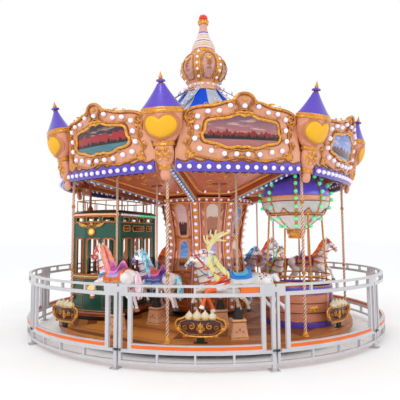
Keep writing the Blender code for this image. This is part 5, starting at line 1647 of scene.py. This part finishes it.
def make_animals():
    """The horses and the reindeer, each on its twisted pole."""
    settings = scene_settings()
    horse = body_mesh("horse_body", HORSE_TRUNK, HORSE_NECK, HORSE_HEAD, HORSE_LIMBS, False)
    deer = body_mesh("reindeer_body", DEER_TRUNK, DEER_NECK, DEER_HEAD, DEER_LIMBS, True)
    pole = Form()
    twisted(pole, 0.34, 2.8, 0.0185, settings.twist_pitch * 0.8)
    pole.lathe(mm((10, 330), (20, 332), (20, 342)), "gold", 12)
    pole_shape = pole.mesh("animal_pole")
    for name, (radius, direction, turn, lift) in ANIMAL_PLACES.items():
        is_deer = name == "reindeer"
        place = shift(*compass(radius, direction, SADDLE_MID + lift)) @ turn_z(direction + turn)
        skin = (deer if is_deer else horse).copy()
        skin.materials.clear()
        skin.materials.append(FINISHES[COATS.get(name, "white horse")]())
        put(f"{name}_body", skin, f"{name}_ride", place, stands_for=[name])
        parts = (DEER_TRUNK, DEER_NECK, DEER_HEAD, DEER_LIMBS) if is_deer else \
            (HORSE_TRUNK, HORSE_NECK, HORSE_HEAD, HORSE_LIMBS)
        put(f"{name}_harness", dress_animal(name, *parts), f"{name}_ride", place)
        stand = shift(*compass(radius, direction, lift)) @ turn_z(direction)
        put(f"{name}_pole", pole_shape, f"{name}_ride", stand)


COATS = {"reindeer": "spotted deer", "horse_cream": "ivory", "horse_grey": "dove grey",
        "horse_violet": "ivory", "horse_blue": "dove grey"}


def tram_point(x, y, z):
    """A point of the tram's own frame, with its ends bowed out."""
    bow = TRAM_BOW * min(1, max(0, (TRAM_HALF[0] - abs(x)) / (TRAM_HALF[0] - TRAM_FLAT)))
    return Vector((x, y + bow * y / TRAM_HALF[1], z))


def ellipse(x, y, z, wide, high, count):
    """A closed upright line about a point, facing front."""
    angles = [2 * math.pi * k / count for k in range(count)]
    return [(x + wide * math.cos(a), y, z + high * math.sin(a)) for a in angles]


def window_line(x0, x1, z0, z1, soft, corner):
    """A window outline with soft upper corners and small lower ones."""
    line = []
    for x, z, first, reach in ((x1 - soft, z1 - soft, 0, soft), (x0 + soft, z1 - soft, 90, soft),
            (x0 + corner, z0 + corner, 180, corner), (x1 - corner, z0 + corner, 270, corner)):
        for step in range(5):
            angle = math.radians(first + 22.5 * step)
            line.append((x + reach * math.cos(angle), z + reach * math.sin(angle)))
    return line


def make_tram():
    """Trims, window frames, boards, lamps and railing of the tram carriage."""
    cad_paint("tram_body", "tram green")
    form = Form()
    spot = form.place = shift(*compass(*TRAM_PLACE)) @ turn_z(TRAM_TURN)
    half_x, half_y = TRAM_HALF
    ends = (-half_x, -TRAM_FLAT, TRAM_FLAT, half_x)

    def on_end(side, line, out=0):
        """Points of a bowed end wall, from (x, z) pairs."""
        return [tram_point(x, side * half_y, z) + Vector((0, side * out, 0)) for x, z in line]

    for side in HANDS:
        for z, size, finish in ((0.915, 0.016, "cream gold"), (0.885, 0.008, "gold"), (0.945, 0.008, "gold"),
                (0.3, 0.03, "terracotta"), (0.345, 0.008, "gold"), (0.262, 0.008, "gold"),
                (1.84, 0.007, "gold"), (1.945, 0.006, "gold")):
            form.tube(on_end(side, [(x, z) for x in ends], 0.004), size, finish, up=UP)
            form.tube([(side * (half_x + 0.004), y, z) for y in (-half_y, 0, half_y)], size, finish, up=UP)
        skirts = [on_end(side, [(x, z) for x in ends], 0.008) for z in (0.193, 0.262)]
        form.skin(skirts, "ink black", around=False)
        skirts = [[(side * (half_x + 0.006), y, z) for y in (-half_y, half_y)] for z in (0.193, 0.262)]
        form.skin(skirts, "ink black", around=False)
        for x0, x1 in mm((-400, -190), (-130, 130), (190, 400)):
            lower = window_line(x0, x1, TRAM_SILL, 1.57, 0.05, 0.012)
            upper = window_line(x0, x1, 1.854, 1.934, 0.02, 0.012)
            middle = (x0 + x1) / 2
            inset = [((x - middle) * 0.88 + middle, (z - 1.25) * 0.965 + 1.25) for x, z in lower]
            for line, out, size, finish in ((lower, 0.006, 0.011, "teak"), (upper, 0.006, 0.008, "gold"),
                    (inset, 0, 0.009, "gold")):
                form.hoop(on_end(side, line, out), size, finish, up=(0, side, 0))
        for y0, y1 in mm((-520, -220), (-150, 150), (220, 520)):
            line = window_line(y0, y1, 0.94, 1.57, 0.06, 0.01)
            form.hoop([(side * (half_x + 0.006), y, z) for y, z in line], 0.011, "teak", up=(side, 0, 0))
            middle = (y0 + y1) / 2
            form.block((side * (half_x - 0.03), middle - 0.03, 0.95),
                    (side * (half_x - 0.004), middle + 0.03, 1.56), "teak")
            form.tube([(side * (half_x - 0.002), middle - 0.032, z) for z in (0.95, 1.56)], 0.006, "gold")
        for y0, y1 in mm((-500, -300), (-220, -30), (30, 220), (300, 500)):
            line = ellipse((y0 + y1) / 2, 0, 1.894, (y1 - y0) / 2, 0.042, 16)
            form.hoop([(side * (half_x + 0.004), y, z) for y, _, z in line], 0.008, "gold", up=(side, 0, 0))
        for y, wide in ((-0.4, 0.1), (0, 0.2), (0.4, 0.1)):
            form.place = spot @ turn_z(90 * side) @ shift(side * y, -half_x, 1.735)
            outline = [(wide * c, 0.048 * s) for c, s in ((1, 0.5), (0.9, 1), (-0.9, 1), (-1, 0.5),
                    (-1, -0.5), (-0.9, -1), (0.9, -1), (1, -0.5))]
            form.slab(outline, mm((2, 0), (-8, 0), (-10, 4)), "maroon")
            form.hoop([(x, -0.01, z) for x, z in outline], 0.007, "bright gold")
            for k in (-1, 0, 1):
                volute(form, 0.36 * wide * k, 0, 0.018, "bright gold", -0.012, 90, 1 if k else -1)
        for y in (-0.44, -0.15, 0.15, 0.44):
            form.place = spot @ turn_z(90 * side) @ shift(side * y, -half_x - 0.004, 0)
            form.hoop(mm((-105, 0, 400), (105, 0, 400), (105, 0, 840), (-105, 0, 840)), 0.006, "gold")
        form.place = spot @ turn_z(90 + 90 * side) @ shift(0, -half_y - TRAM_BOW, 0)
        for x, y, z, wide, count, size, finish, inset, cap in ((0, -0.01, 0.7, 0.085, 24, 0.016,
                "bright gold", 0.94, mm((4, 0), (-22, 0), (-34, 18), (-40, 45))),
                (-0.02, -0.012, 1.68, 0.06, 20, 0.015, "gold", 0.75, mm((4, 0), (-20, 0), (-32, 12),
                (-36, 30)))):
            form.hoop(ellipse(x, y, z, wide, wide, count), size, finish, 8)
            inset *= wide
            form.slab([(u, w) for u, _, w in ellipse(x, y, z, inset, inset, count)], cap, "amber lamp glass")
        form.place = form.place @ shift(-0.02, 0, 0)
        scrolls(form, "bright gold", (85, 1775, 45, -10, 90, 1))
        leaves(form, "bright gold", (100, 1780, 200, -8, 92, 0.14, -24))
        spray(form, 0, 1.79, 0.075, 0, "bright gold", -0.012)
        form.place = spot
        for hand in HANDS:
            for z in (0.55, 0.78):
                root, end, point = [on_end(side, ((0.45 * hand, z),), out)[0] for out in (0, 0.036, 0.04)]
                form.tube([root, end], 0.04, "teak", 12)
                bulb(form, point, 0.03, (0, side, 0), "amber lamp glass")
            for z0, z1 in mm((400, 600), (640, 850)):
                line = ((0.2, z0), (0.44, z0), (0.44, z1), (0.2, z1))[::hand]
                form.hoop(on_end(side, [(x * hand, z) for x, z in line], 0.004), 0.006, "gold")
            x, y = hand * half_x, side * half_y
            form.tube([(x, y, z) for z in (0.345, 1.1, 1.94)], 0.02, "tram green", 8)
            form.tube([(x * 1.01, y * 1.01, z) for z in (0.35, 1.93)], 0.007, "gold")
        line = curve_through([tuple(p) for p in on_end(side, [(x, 1.975) for x in ends], 0.022)], 6)
        form.tube(line, 0.019, "orange lamp strip", 8, up=UP)
        for step in range(20):
            paint = "opal lamp glass" if step < 10 else "green lamp glass"
            form.ball((side * (half_x + 0.02), -half_y + 0.03 + 0.062 * step, 1.975), 0.023, paint)
    form.put("tram_trim", "tram_paint")

    top = Form()
    top.place = spot
    rows = []
    for z, grow in mm((1966.3, 12), (1990, 30), (2006, 30), (2022, 10), (2048, -45), (2064, -160),
            (2068, -300)):
        row = []
        for sx, sy in ((1, 1), (-1, 1), (-1, -1), (1, -1)):
            for x in (half_x, TRAM_FLAT) if sx == sy else (TRAM_FLAT, half_x):
                p = tram_point(sx * x, sy * half_y, 0)
                row.append((p.x * (1 + grow / half_x), p.y * (1 + grow / half_y), z))
        rows.append(row)
    top.skin(rows, "tram black green")
    for side in HANDS:
        for x, y in [(x, side * 0.57) for x in (-0.43, -0.215, 0, 0.215, 0.43)] + \
                [(side * 0.43, y) for y in (-0.285, 0, 0.285)]:
            p = tram_point(x, y, 0)
            edge = 2.03 if max(abs(x) / 0.43, abs(y) / 0.57) > 0.98 else 2.05
            top.tube([(p.x, p.y, z) for z in (edge - 0.02, 2.12, 2.222)], 0.0085, "gold", 8)
            top.ball((p.x, p.y, 2.045), 0.014, "gold")
        rail = [tram_point(x, side * 0.57, 2.221) for x in (-0.43, -TRAM_FLAT, 0, TRAM_FLAT, 0.43)]
        for line in (rail, [(side * 0.43, y, 2.221) for y in (-0.57, 0, 0.57)]):
            top.tube(line, 0.0095, "gold", 8, up=UP)
    place = compass(*TRAM_PLACE) + turn_z(TRAM_TURN).to_3x3() @ Vector((-0.25, -0.45, 0))
    head = BEAM_START[1] + BEAM_SLOPE * (place.to_2d().length / COS - BEAM_START[0]) + BEAM_DEPTH / 2 - 0.06
    top.place = shift(*place)
    top.lathe(mm((58, 2052), (56, 2066), (44, 2080), (50, 2098), (34, 2118), (24, 2140)), "terracotta", 16)
    top.lathe([(0.021, z) for z in (2.135, 2.3, head)], "terracotta", 12)
    top.put("tram_top", "tram_paint", ["tram_roof"])


def make_balloon():
    """The quilted basket, its posts and rails, and the balloon with its lamps."""
    spot = shift(*compass(*BALLOON_PLACE)) @ turn_z(BALLOON_PLACE[1] + 180)
    radius = BASKET_RADIUS
    form = Form()
    form.place = spot
    start, stop = 27.5, 332.5

    def arc(r, z, count=48, low=start, high=stop):
        return [compass(r, low + (high - low) * i / count, z) for i in range(count + 1)]

    form.lathe([(r and radius + r, z) for r, z in mm((0, 190.5), (-2, 190.5), (4, 200), (4, 236), (-6, 262),
            (0, 263))], "violet", 64)
    form.lathe(((0, 0.262), (radius - 0.05, 0.264), (0, 0.266)), "oiled boards", 40, caps=False)
    outer = arc(radius - 0.006, 0)
    rows = [[p + Vector((0, 0, z)) for p in outer] for z in (0.24, 0.7)]
    first = len(form.points)
    form.skin(rows, "quilted salmon", around=False)
    for i in range(98):
        form.picture[first + i] = (math.radians(305 * (i % 49) / 48) * radius, rows[i // 49][0].z)
    form.skin([arc(radius - 0.04, z)[::-1] for z in (0.262, 0.7)], "peach", around=False)
    for profile in (mm((-46, 690), (8, 690), (14, 705), (14, 790), (4, 806), (-30, 806), (-46, 790)),
            mm((-4, 190.5), (12, 195), (14, 262), (2, 275), (-8, 270))):
        form.skin(list(zip(*[arc(radius + r, z) for r, z in profile])), "violet")
    for z, size, finish in ((0.69, 0.008, "gold"), (0.808, 0.009, "gold"), (0.41, 0.006, "brown umber"),
            (0.555, 0.006, "brown umber"), (0.282, 0.007, "gold")):
        form.tube(arc(radius + 0.002, z), size, finish, up=UP)
    for angle in (27.5, 60, 168, 180, 192, 300, 332.5):
        rows = [[compass(radius + r, angle + a, z) for r, a in ((-0.044, -2.2), (0.01, -2.2), (0.014, 0),
                (0.01, 2.2), (-0.044, 2.2))] for z in (0.262, 0.7)]
        form.skin(rows, "violet" if angle in (start, 180, stop) else "salmon pink")
    for angle in (42, 137.5, 222.5, 318):
        form.place = spot @ turn_z(angle) @ shift(0, -radius - 0.004, 0.475)
        outline = mm((75, 28), (55, 46), (-55, 46), (-75, 28), (-75, -28), (-55, -46), (55, -46), (75, -28))
        form.slab(outline, mm((4, 0), (-10, 0), (-14, 8)), "bright gold")
        scrolls(form, "brown gold", (36, 0, 20, -16, 90, 1))
    form.put("basket", "basket_paint", ["balloon_basket"])

    form = Form()
    form.place = spot
    ring_radius, ring_height = 0.4673, 1.945
    rail_radius = radius - 0.02
    form.hoop([compass(ring_radius, 7.5 * i, ring_height) for i in range(48)], 0.015, "gold", 8, up=UP)
    for z in (0.865, 0.965):
        form.tube(arc(rail_radius, z, 40, 40, 320), 0.013, "gold", 8, up=UP)
    for angle in (45, 135, 225, 315):
        top = compass(ring_radius, angle, ring_height)
        form.tube([compass(rail_radius, angle, 0.722), compass(rail_radius, angle, 0.865), top], 0.016,
                "gold", 8)
        for point, size, finish in ((compass(rail_radius, angle, 0.965), 0.024, "bright gold"),
                (compass(rail_radius, angle, 0.83), 0.026, "gold"), (top, 0.026, "bright gold")):
            form.ball(point, size, finish, 6, 10)
    form.put("basket_rails", "basket_paint", ["balloon_posts"])

    form = Form()
    form.place = spot
    profile = mm((140, 1690), (215, 1748), (290, 1808), (362, 1868), (430, 1925), (482, 1985), (520, 2050),
            (546, 2115), (558, 2180), (560, 2235), (550, 2290), (530, 2355), (500, 2420), (456, 2484),
            (400, 2540), (325, 2584), (240, 2610), (120, 2624), (0, 2628))
    reach_at = [(z, r) for r, z in profile]
    form.lathe(profile, "balloon shell", 64)
    for z, size, finish in ((2.144, 0.007, "brown umber"), (2.229, 0.007, "gold"),
            (1.925, 0.01, "brown umber")):
        line = [compass(between(reach_at, z) + 0.002, 7.5 * i, z) for i in range(48)]
        form.hoop(line, size, finish, up=UP)
    for k in range(SIDES):
        direction = 22.5 + 45 * k
        path = [compass(r + 0.003, direction, z) for r, z in profile[:-2]]
        form.tube(path, 0.022, "gold", flat=0.45, up=compass(1, direction))
        for index in (1, 3, 6, 8, 10, 12, 14):
            r, z = profile[index]
            bulb(form, compass(r + 0.034, direction, z), 0.034, compass(1, direction), "green lamp glass")
        tri = []
        for x, z in mm((-85, 1945), (0, 2030), (85, 1945)):
            r = between(reach_at, z) + 0.016
            tri.append(compass(r, 45 * k + math.degrees(x / r), z))
        form.face(tuple(form.add([p]) for p in tri), "peach", True)
        form.tube(tri, 0.007, "brown umber")
    form.lathe(mm((30, 1546), (110, 1546), (126, 1556), (132, 1575), (126, 1590), (140, 1610), (152, 1640),
            (156, 1665), (150, 1688), (136, 1698)), "gold", 36)
    form.put("balloon", "envelope_paint", ["balloon_envelope"])


def make_signs():
    """Standing cartouches: maroon field, gilded scroll edge and small domes, left without words."""
    spots = ((2.588, -69, -50), (2.43, -12.5, -18), (2.5, 44, 33), (2.44, 103, 103), (2.44, 168, 168),
            (2.44, -130, -130))
    form = Form()
    field = mm((0, 80), (120, 85), (200, 95), (262, 140), (325, 185), (335, 240), (315, 295), (245, 318),
            (180, 350), (120, 330), (0, 320))
    outline = curve_through(mirrored(field), 2, True)
    form.slab(outline, mm((-2, 0), (-22, 0), (-30, 10)), "maroon")
    form.hoop(ring_points(mirrored(field), -0.026), 0.014, "bright gold", 8)
    form.hoop([(x * 0.84, -0.032, 0.205 + (z - 0.205) * 0.78) for x, y, z in ring_points(mirrored(field))],
            0.006, "gold")
    spray(form, 0, 0.19, 0.09, 0, "bright gold", -0.034)
    spray(form, 0, 0.175, 0.07, 180, "bright gold", -0.034)
    scrolls(form, "bright gold", (120, 215, 48, -34, 90, 1), (300, 215, 36, -30, 90, 1))
    scrolls(form, "gold", (215, 200, 38, -34, -90, -1))
    leaves(form, "bright gold", (255, 130, 110, -26, 62, 0.2, -40))
    leaves(form, "gold", (150, 90, 110, -26, 84, 0.2, 20))
    drawn_at = 0.06
    for x, size in mm((-150, 62), (-45, 70), (62, 66), (160, 58)):
        dome = mm((46, -20), (50, 0), (56, 18), (50, 38), (34, 56), (14, 72), (8, 86), (2, 94))
        form.lathe([(r * size / drawn_at, 0.325 + h * size / drawn_at) for r, h in dome], "pearl", 14,
                centre=(x, -0.02, 0))
        collar = [(r * size / drawn_at, z) for r, z in mm((50, 310), (56, 318), (50, 330))]
        form.lathe(collar, "bright gold", 14, centre=(x, -0.02, 0))
    form.block((-0.05, -0.034, 0), (0.05, -0.004, 0.09), "black iron")
    form.block((-0.09, -0.06, 0), (0.09, 0.02, 0.008), "black iron")
    shape = form.mesh("cartouche")
    for index, (radius, direction, facing) in enumerate(spots):
        place = shift(*compass(radius, direction, DECK_TOP + STAND_GAP)) @ turn_z(facing)
        put(f"cartouche_{index}", shape, SPIN, place, stands_for=[f"sign_{index}"])


def make_fence():
    """Fence and base frame finishes, with stripes, bolts and latch bars."""
    for k in range(FENCE_PANELS):
        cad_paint(f"fence_panel_{k}", "fence")
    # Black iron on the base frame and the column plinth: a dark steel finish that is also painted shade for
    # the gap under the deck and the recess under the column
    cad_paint("base_frame", "black iron")
    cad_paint("column_plinth", "black iron")
    inner, outer = FENCE_RADIUS - FENCE_DEPTH / 2, FENCE_RADIUS + FENCE_DEPTH / 2
    form = Form()

    def chord(radius, angle, z):
        knot = math.floor(angle / 6) * 6
        return compass(radius, knot, z).lerp(compass(radius, knot + 6, z), (angle - knot) / 6)

    def film(form, angles, low, high):
        """A strip of film on the inside and the outside of a rail."""
        for radius in (inner - FILM_GAP, outer + FILM_GAP):
            rows = [[chord(radius, angle, z) for angle in angles] for z in (low, high)]
            form.skin(rows if radius > FENCE_RADIUS else rows[::-1], "orange stripe film", around=False)

    ends = (FENCE_POST - FENCE_STEP + 4.06, FENCE_POST - 2.76)
    film(form, sorted({*ends, *(6 * k for k in range(-2, 3))}), 0.258, 0.3)
    for side in HANDS:
        for reach in (-0.04, 0.04):
            foot = compass(FENCE_RADIUS + reach, FENCE_POST + side * math.degrees(0.042 / FENCE_RADIUS))
            form.lathe(mm((0, 8.5), (11, 8.5), (11, 14), (6, 17), (0, 18)), "zinc bolt", 6,
                    centre=tuple(foot))
    latch = FENCE_POST + 0.6
    form.place = shift(*compass(outer + 0.01, latch, 0.235)) @ turn_z(latch)
    form.block((-0.05, -0.008, -0.011), (0.05, 0.006, 0.011), "black iron")
    for x in (-0.036, 0.036):
        form.ball((x, -0.01, 0), 0.008, "zinc bolt", 4, 8)
    shape = form.mesh("fence_trim")
    for k in range(FENCE_PANELS):
        turned = shape.copy()
        turned.transform(turn_z(FENCE_FIRST + FENCE_STEP * k))
        put(f"fence_trim_{k}", turned, GROUND)
    plate = Form()
    plate.place = turn_z(FENCE_FIRST)
    film(plate, [10 + 0.84 * k for k in range(6)], 0.921, 0.982)
    put("fence_orange_plate", plate.mesh("fence_orange_plate"), GROUND)


def make_stage():
    """The pale floor, the soft studio light and the camera."""
    settings = scene_settings()
    floor = bpy.data.meshes.new("studio_floor")
    count, rings, level = 96, (0, 8, 30, 90), -0.002
    points = [(0, 0, level)]
    for radius in rings[1:]:
        points += [(radius * math.cos(2 * math.pi * i / count), radius * math.sin(2 * math.pi * i / count),
                level) for i in range(count)]
    faces = [(0, 1 + i, 1 + (i + 1) % count) for i in range(count)]
    for ring in range(len(rings) - 2):
        low, high = 1 + ring * count, 1 + (ring + 1) * count
        faces += [(low + i, high + i, high + (i + 1) % count, low + (i + 1) % count) for i in range(count)]
    floor.from_pydata(points, [], faces)
    floor.materials.append(FINISHES["studio paper"]())
    ground = bpy.data.objects.new("studio_floor", floor)
    bpy.context.scene.collection.objects.link(ground)

    world = bpy.data.worlds.new("studio")
    world.use_nodes = True
    sky = world.node_tree.nodes["Background"]
    sky.inputs["Color"].default_value = (1, 1, 1, 1)
    sky.inputs["Strength"].default_value = settings.sky_light
    bpy.context.scene.world = world
    for name, place, aim, size, power in (("key", (-5.5, -9, 7.5), (0, 0, 2), 5, settings.key_light),
            ("fill", (7.5, -8, 4), (0, 0, 2), 6, settings.key_light * 0.3),
            ("back", (2, 9, 8), (0, 0, 3), 6, settings.key_light * 0.3),
            ("canopy_glow", (0, -0.001, 1.2), (0, 0, 4), 4.4, settings.key_light * 0.2)):
        lamp = bpy.data.lights.new(name, "AREA")
        lamp.shape = "DISK"
        lamp.size = size
        lamp.energy = power
        thing = bpy.data.objects.new(name, lamp)
        thing.location = place
        thing.visible_camera = False
        way = Vector(aim) - Vector(place)
        thing.rotation_euler = way.to_track_quat("-Z", "Y").to_euler()
        bpy.context.scene.collection.objects.link(thing)

    lens = bpy.data.cameras.new("camera")
    lens.sensor_width = 36
    lens.lens = 38.81
    lens.shift_x = 0.0044
    lens.shift_y = -0.0053
    lens.clip_end = 400
    camera = bpy.data.objects.new("camera", lens)
    turn = turn_z(-10.3) @ Matrix.Rotation(math.radians(95.04), 4, "X") @ turn_z(-0.29)
    camera.matrix_world = shift(-1.597, -8.129, 1.598) @ turn
    bpy.context.scene.collection.objects.link(camera)
    bpy.context.scene.camera = camera
    bpy.context.scene.view_settings.view_transform = "Standard"


class CarouselSettings(bpy.types.PropertyGroup):
    """Sizes and colours of the carousel that a user would change."""

    board_width: FloatProperty(name="Board width", description="Width of one deck board", default=0.15,
            min=0.05, max=0.4, unit="LENGTH")
    lamp_radius: FloatProperty(name="Lamp radius", description="Radius of the lamps on the rounding boards",
            default=0.036, min=0.01, max=0.06, unit="LENGTH")
    twist_pitch: FloatProperty(name="Twist pitch", description="Height of one full turn of the twisted posts",
            default=0.16, min=0.05, max=0.6, unit="LENGTH")
    canvas_sag: FloatProperty(name="Canvas sag", description="How far the roof canvas hangs between its hips",
            default=0.06, min=0, max=0.2, unit="LENGTH")
    blue: FloatVectorProperty(name="Blue canvas", description="Colour of the blue gores", subtype="COLOR",
            size=4, default=linear("#0A54DC"), min=0, max=1)
    pale: FloatVectorProperty(name="White canvas", description="Colour of the white gores", subtype="COLOR",
            size=4, default=linear("#BEC5D0"), min=0, max=1)
    key_light: FloatProperty(name="Key light", description="Power of the key light", default=260, min=0,
            unit="POWER")
    sky_light: FloatProperty(name="Sky light", description="Strength of the light from all round", default=1,
            min=0)


class CAROUSEL_OT_deck(bpy.types.Operator):
    """Lays the deck boards and stands the animals' pedestals on them."""

    bl_idname = "carousel.deck"
    bl_label = "Deck and pedestals"

    def execute(self, context):
        make_deck()
        make_pedestals()
        return {"FINISHED"}


class CAROUSEL_OT_column(bpy.types.Operator):
    """Builds the panelled hourglass column."""

    bl_idname = "carousel.column"
    bl_label = "Column"

    def execute(self, context):
        make_column()
        return {"FINISHED"}


class CAROUSEL_OT_canopy(bpy.types.Operator):
    """Builds the twisted posts, the lit beams and the ceiling relief."""

    bl_idname = "carousel.canopy"
    bl_label = "Canopy frame"

    def execute(self, context):
        make_canopy_posts()
        make_canopy_beams()
        make_ceiling()
        return {"FINISHED"}


class CAROUSEL_OT_boards(bpy.types.Operator):
    """Builds the crested boards round the canopy."""

    bl_idname = "carousel.boards"
    bl_label = "Rounding boards"

    def execute(self, context):
        make_boards()
        return {"FINISHED"}


class CAROUSEL_OT_turrets(bpy.types.Operator):
    """Builds the corner turrets with their hearts."""

    bl_idname = "carousel.turrets"
    bl_label = "Turrets"

    def execute(self, context):
        make_turrets()
        return {"FINISHED"}


class CAROUSEL_OT_roof(bpy.types.Operator):
    """Hangs the canvas roof and sets the crown and finial on it."""

    bl_idname = "carousel.roof"
    bl_label = "Roof and crown"

    def execute(self, context):
        make_roof()
        make_crown()
        return {"FINISHED"}


class CAROUSEL_OT_tram(bpy.types.Operator):
    """Finishes the tram carriage with its trims and roof rails."""

    bl_idname = "carousel.tram"
    bl_label = "Tram carriage"

    def execute(self, context):
        make_tram()
        return {"FINISHED"}


class CAROUSEL_OT_balloon(bpy.types.Operator):
    """Builds the quilted basket, its rails and the balloon."""

    bl_idname = "carousel.balloon"
    bl_label = "Balloon carriage"

    def execute(self, context):
        make_balloon()
        return {"FINISHED"}


class CAROUSEL_OT_animals(bpy.types.Operator):
    """Builds the horses and the reindeer with their harness and poles."""

    bl_idname = "carousel.animals"
    bl_label = "Animals"

    def execute(self, context):
        make_animals()
        return {"FINISHED"}


class CAROUSEL_OT_fence(bpy.types.Operator):
    """Paints the fence and base frame and adds stripes, bolts and latches."""

    bl_idname = "carousel.fence"
    bl_label = "Fence and base"

    def execute(self, context):
        make_fence()
        return {"FINISHED"}


class CAROUSEL_OT_signs(bpy.types.Operator):
    """Builds the cartouches near the edge of the deck."""

    bl_idname = "carousel.signs"
    bl_label = "Signs"

    def execute(self, context):
        make_signs()
        return {"FINISHED"}


class CAROUSEL_OT_stage(bpy.types.Operator):
    """Makes the floor, the light and the camera."""

    bl_idname = "carousel.stage"
    bl_label = "Studio"

    def execute(self, context):
        make_stage()
        return {"FINISHED"}


class CAROUSEL_PT_panel(bpy.types.Panel):
    """Lists the carousel's groups of pieces and their sizes."""

    bl_label = "Carousel"
    bl_idname = "CAROUSEL_PT_panel"
    bl_space_type = "VIEW_3D"
    bl_region_type = "UI"
    bl_category = "Carousel"

    def draw(self, context):
        column = self.layout.column(align=True)
        for kind in OPERATORS:
            column.operator(kind.bl_idname)
        sizes = self.layout.column()
        for name in CarouselSettings.__annotations__:
            sizes.prop(context.scene.carousel, name)


OPERATORS = (CAROUSEL_OT_deck, CAROUSEL_OT_column, CAROUSEL_OT_canopy, CAROUSEL_OT_boards,
        CAROUSEL_OT_turrets, CAROUSEL_OT_roof, CAROUSEL_OT_tram, CAROUSEL_OT_balloon, CAROUSEL_OT_animals,
        CAROUSEL_OT_fence, CAROUSEL_OT_signs, CAROUSEL_OT_stage)
CLASSES = (CarouselSettings, *OPERATORS, CAROUSEL_PT_panel)


def register():
    for kind in CLASSES:
        bpy.utils.register_class(kind)
    bpy.types.Scene.carousel = PointerProperty(type=CarouselSettings)


def unregister():
    del bpy.types.Scene.carousel
    for kind in reversed(CLASSES):
        bpy.utils.unregister_class(kind)


def main():
    register()
    for kind in OPERATORS:
        group, action = kind.bl_idname.split(".")
        getattr(getattr(bpy.ops, group), action)()


if __name__ == "__main__":
    main()
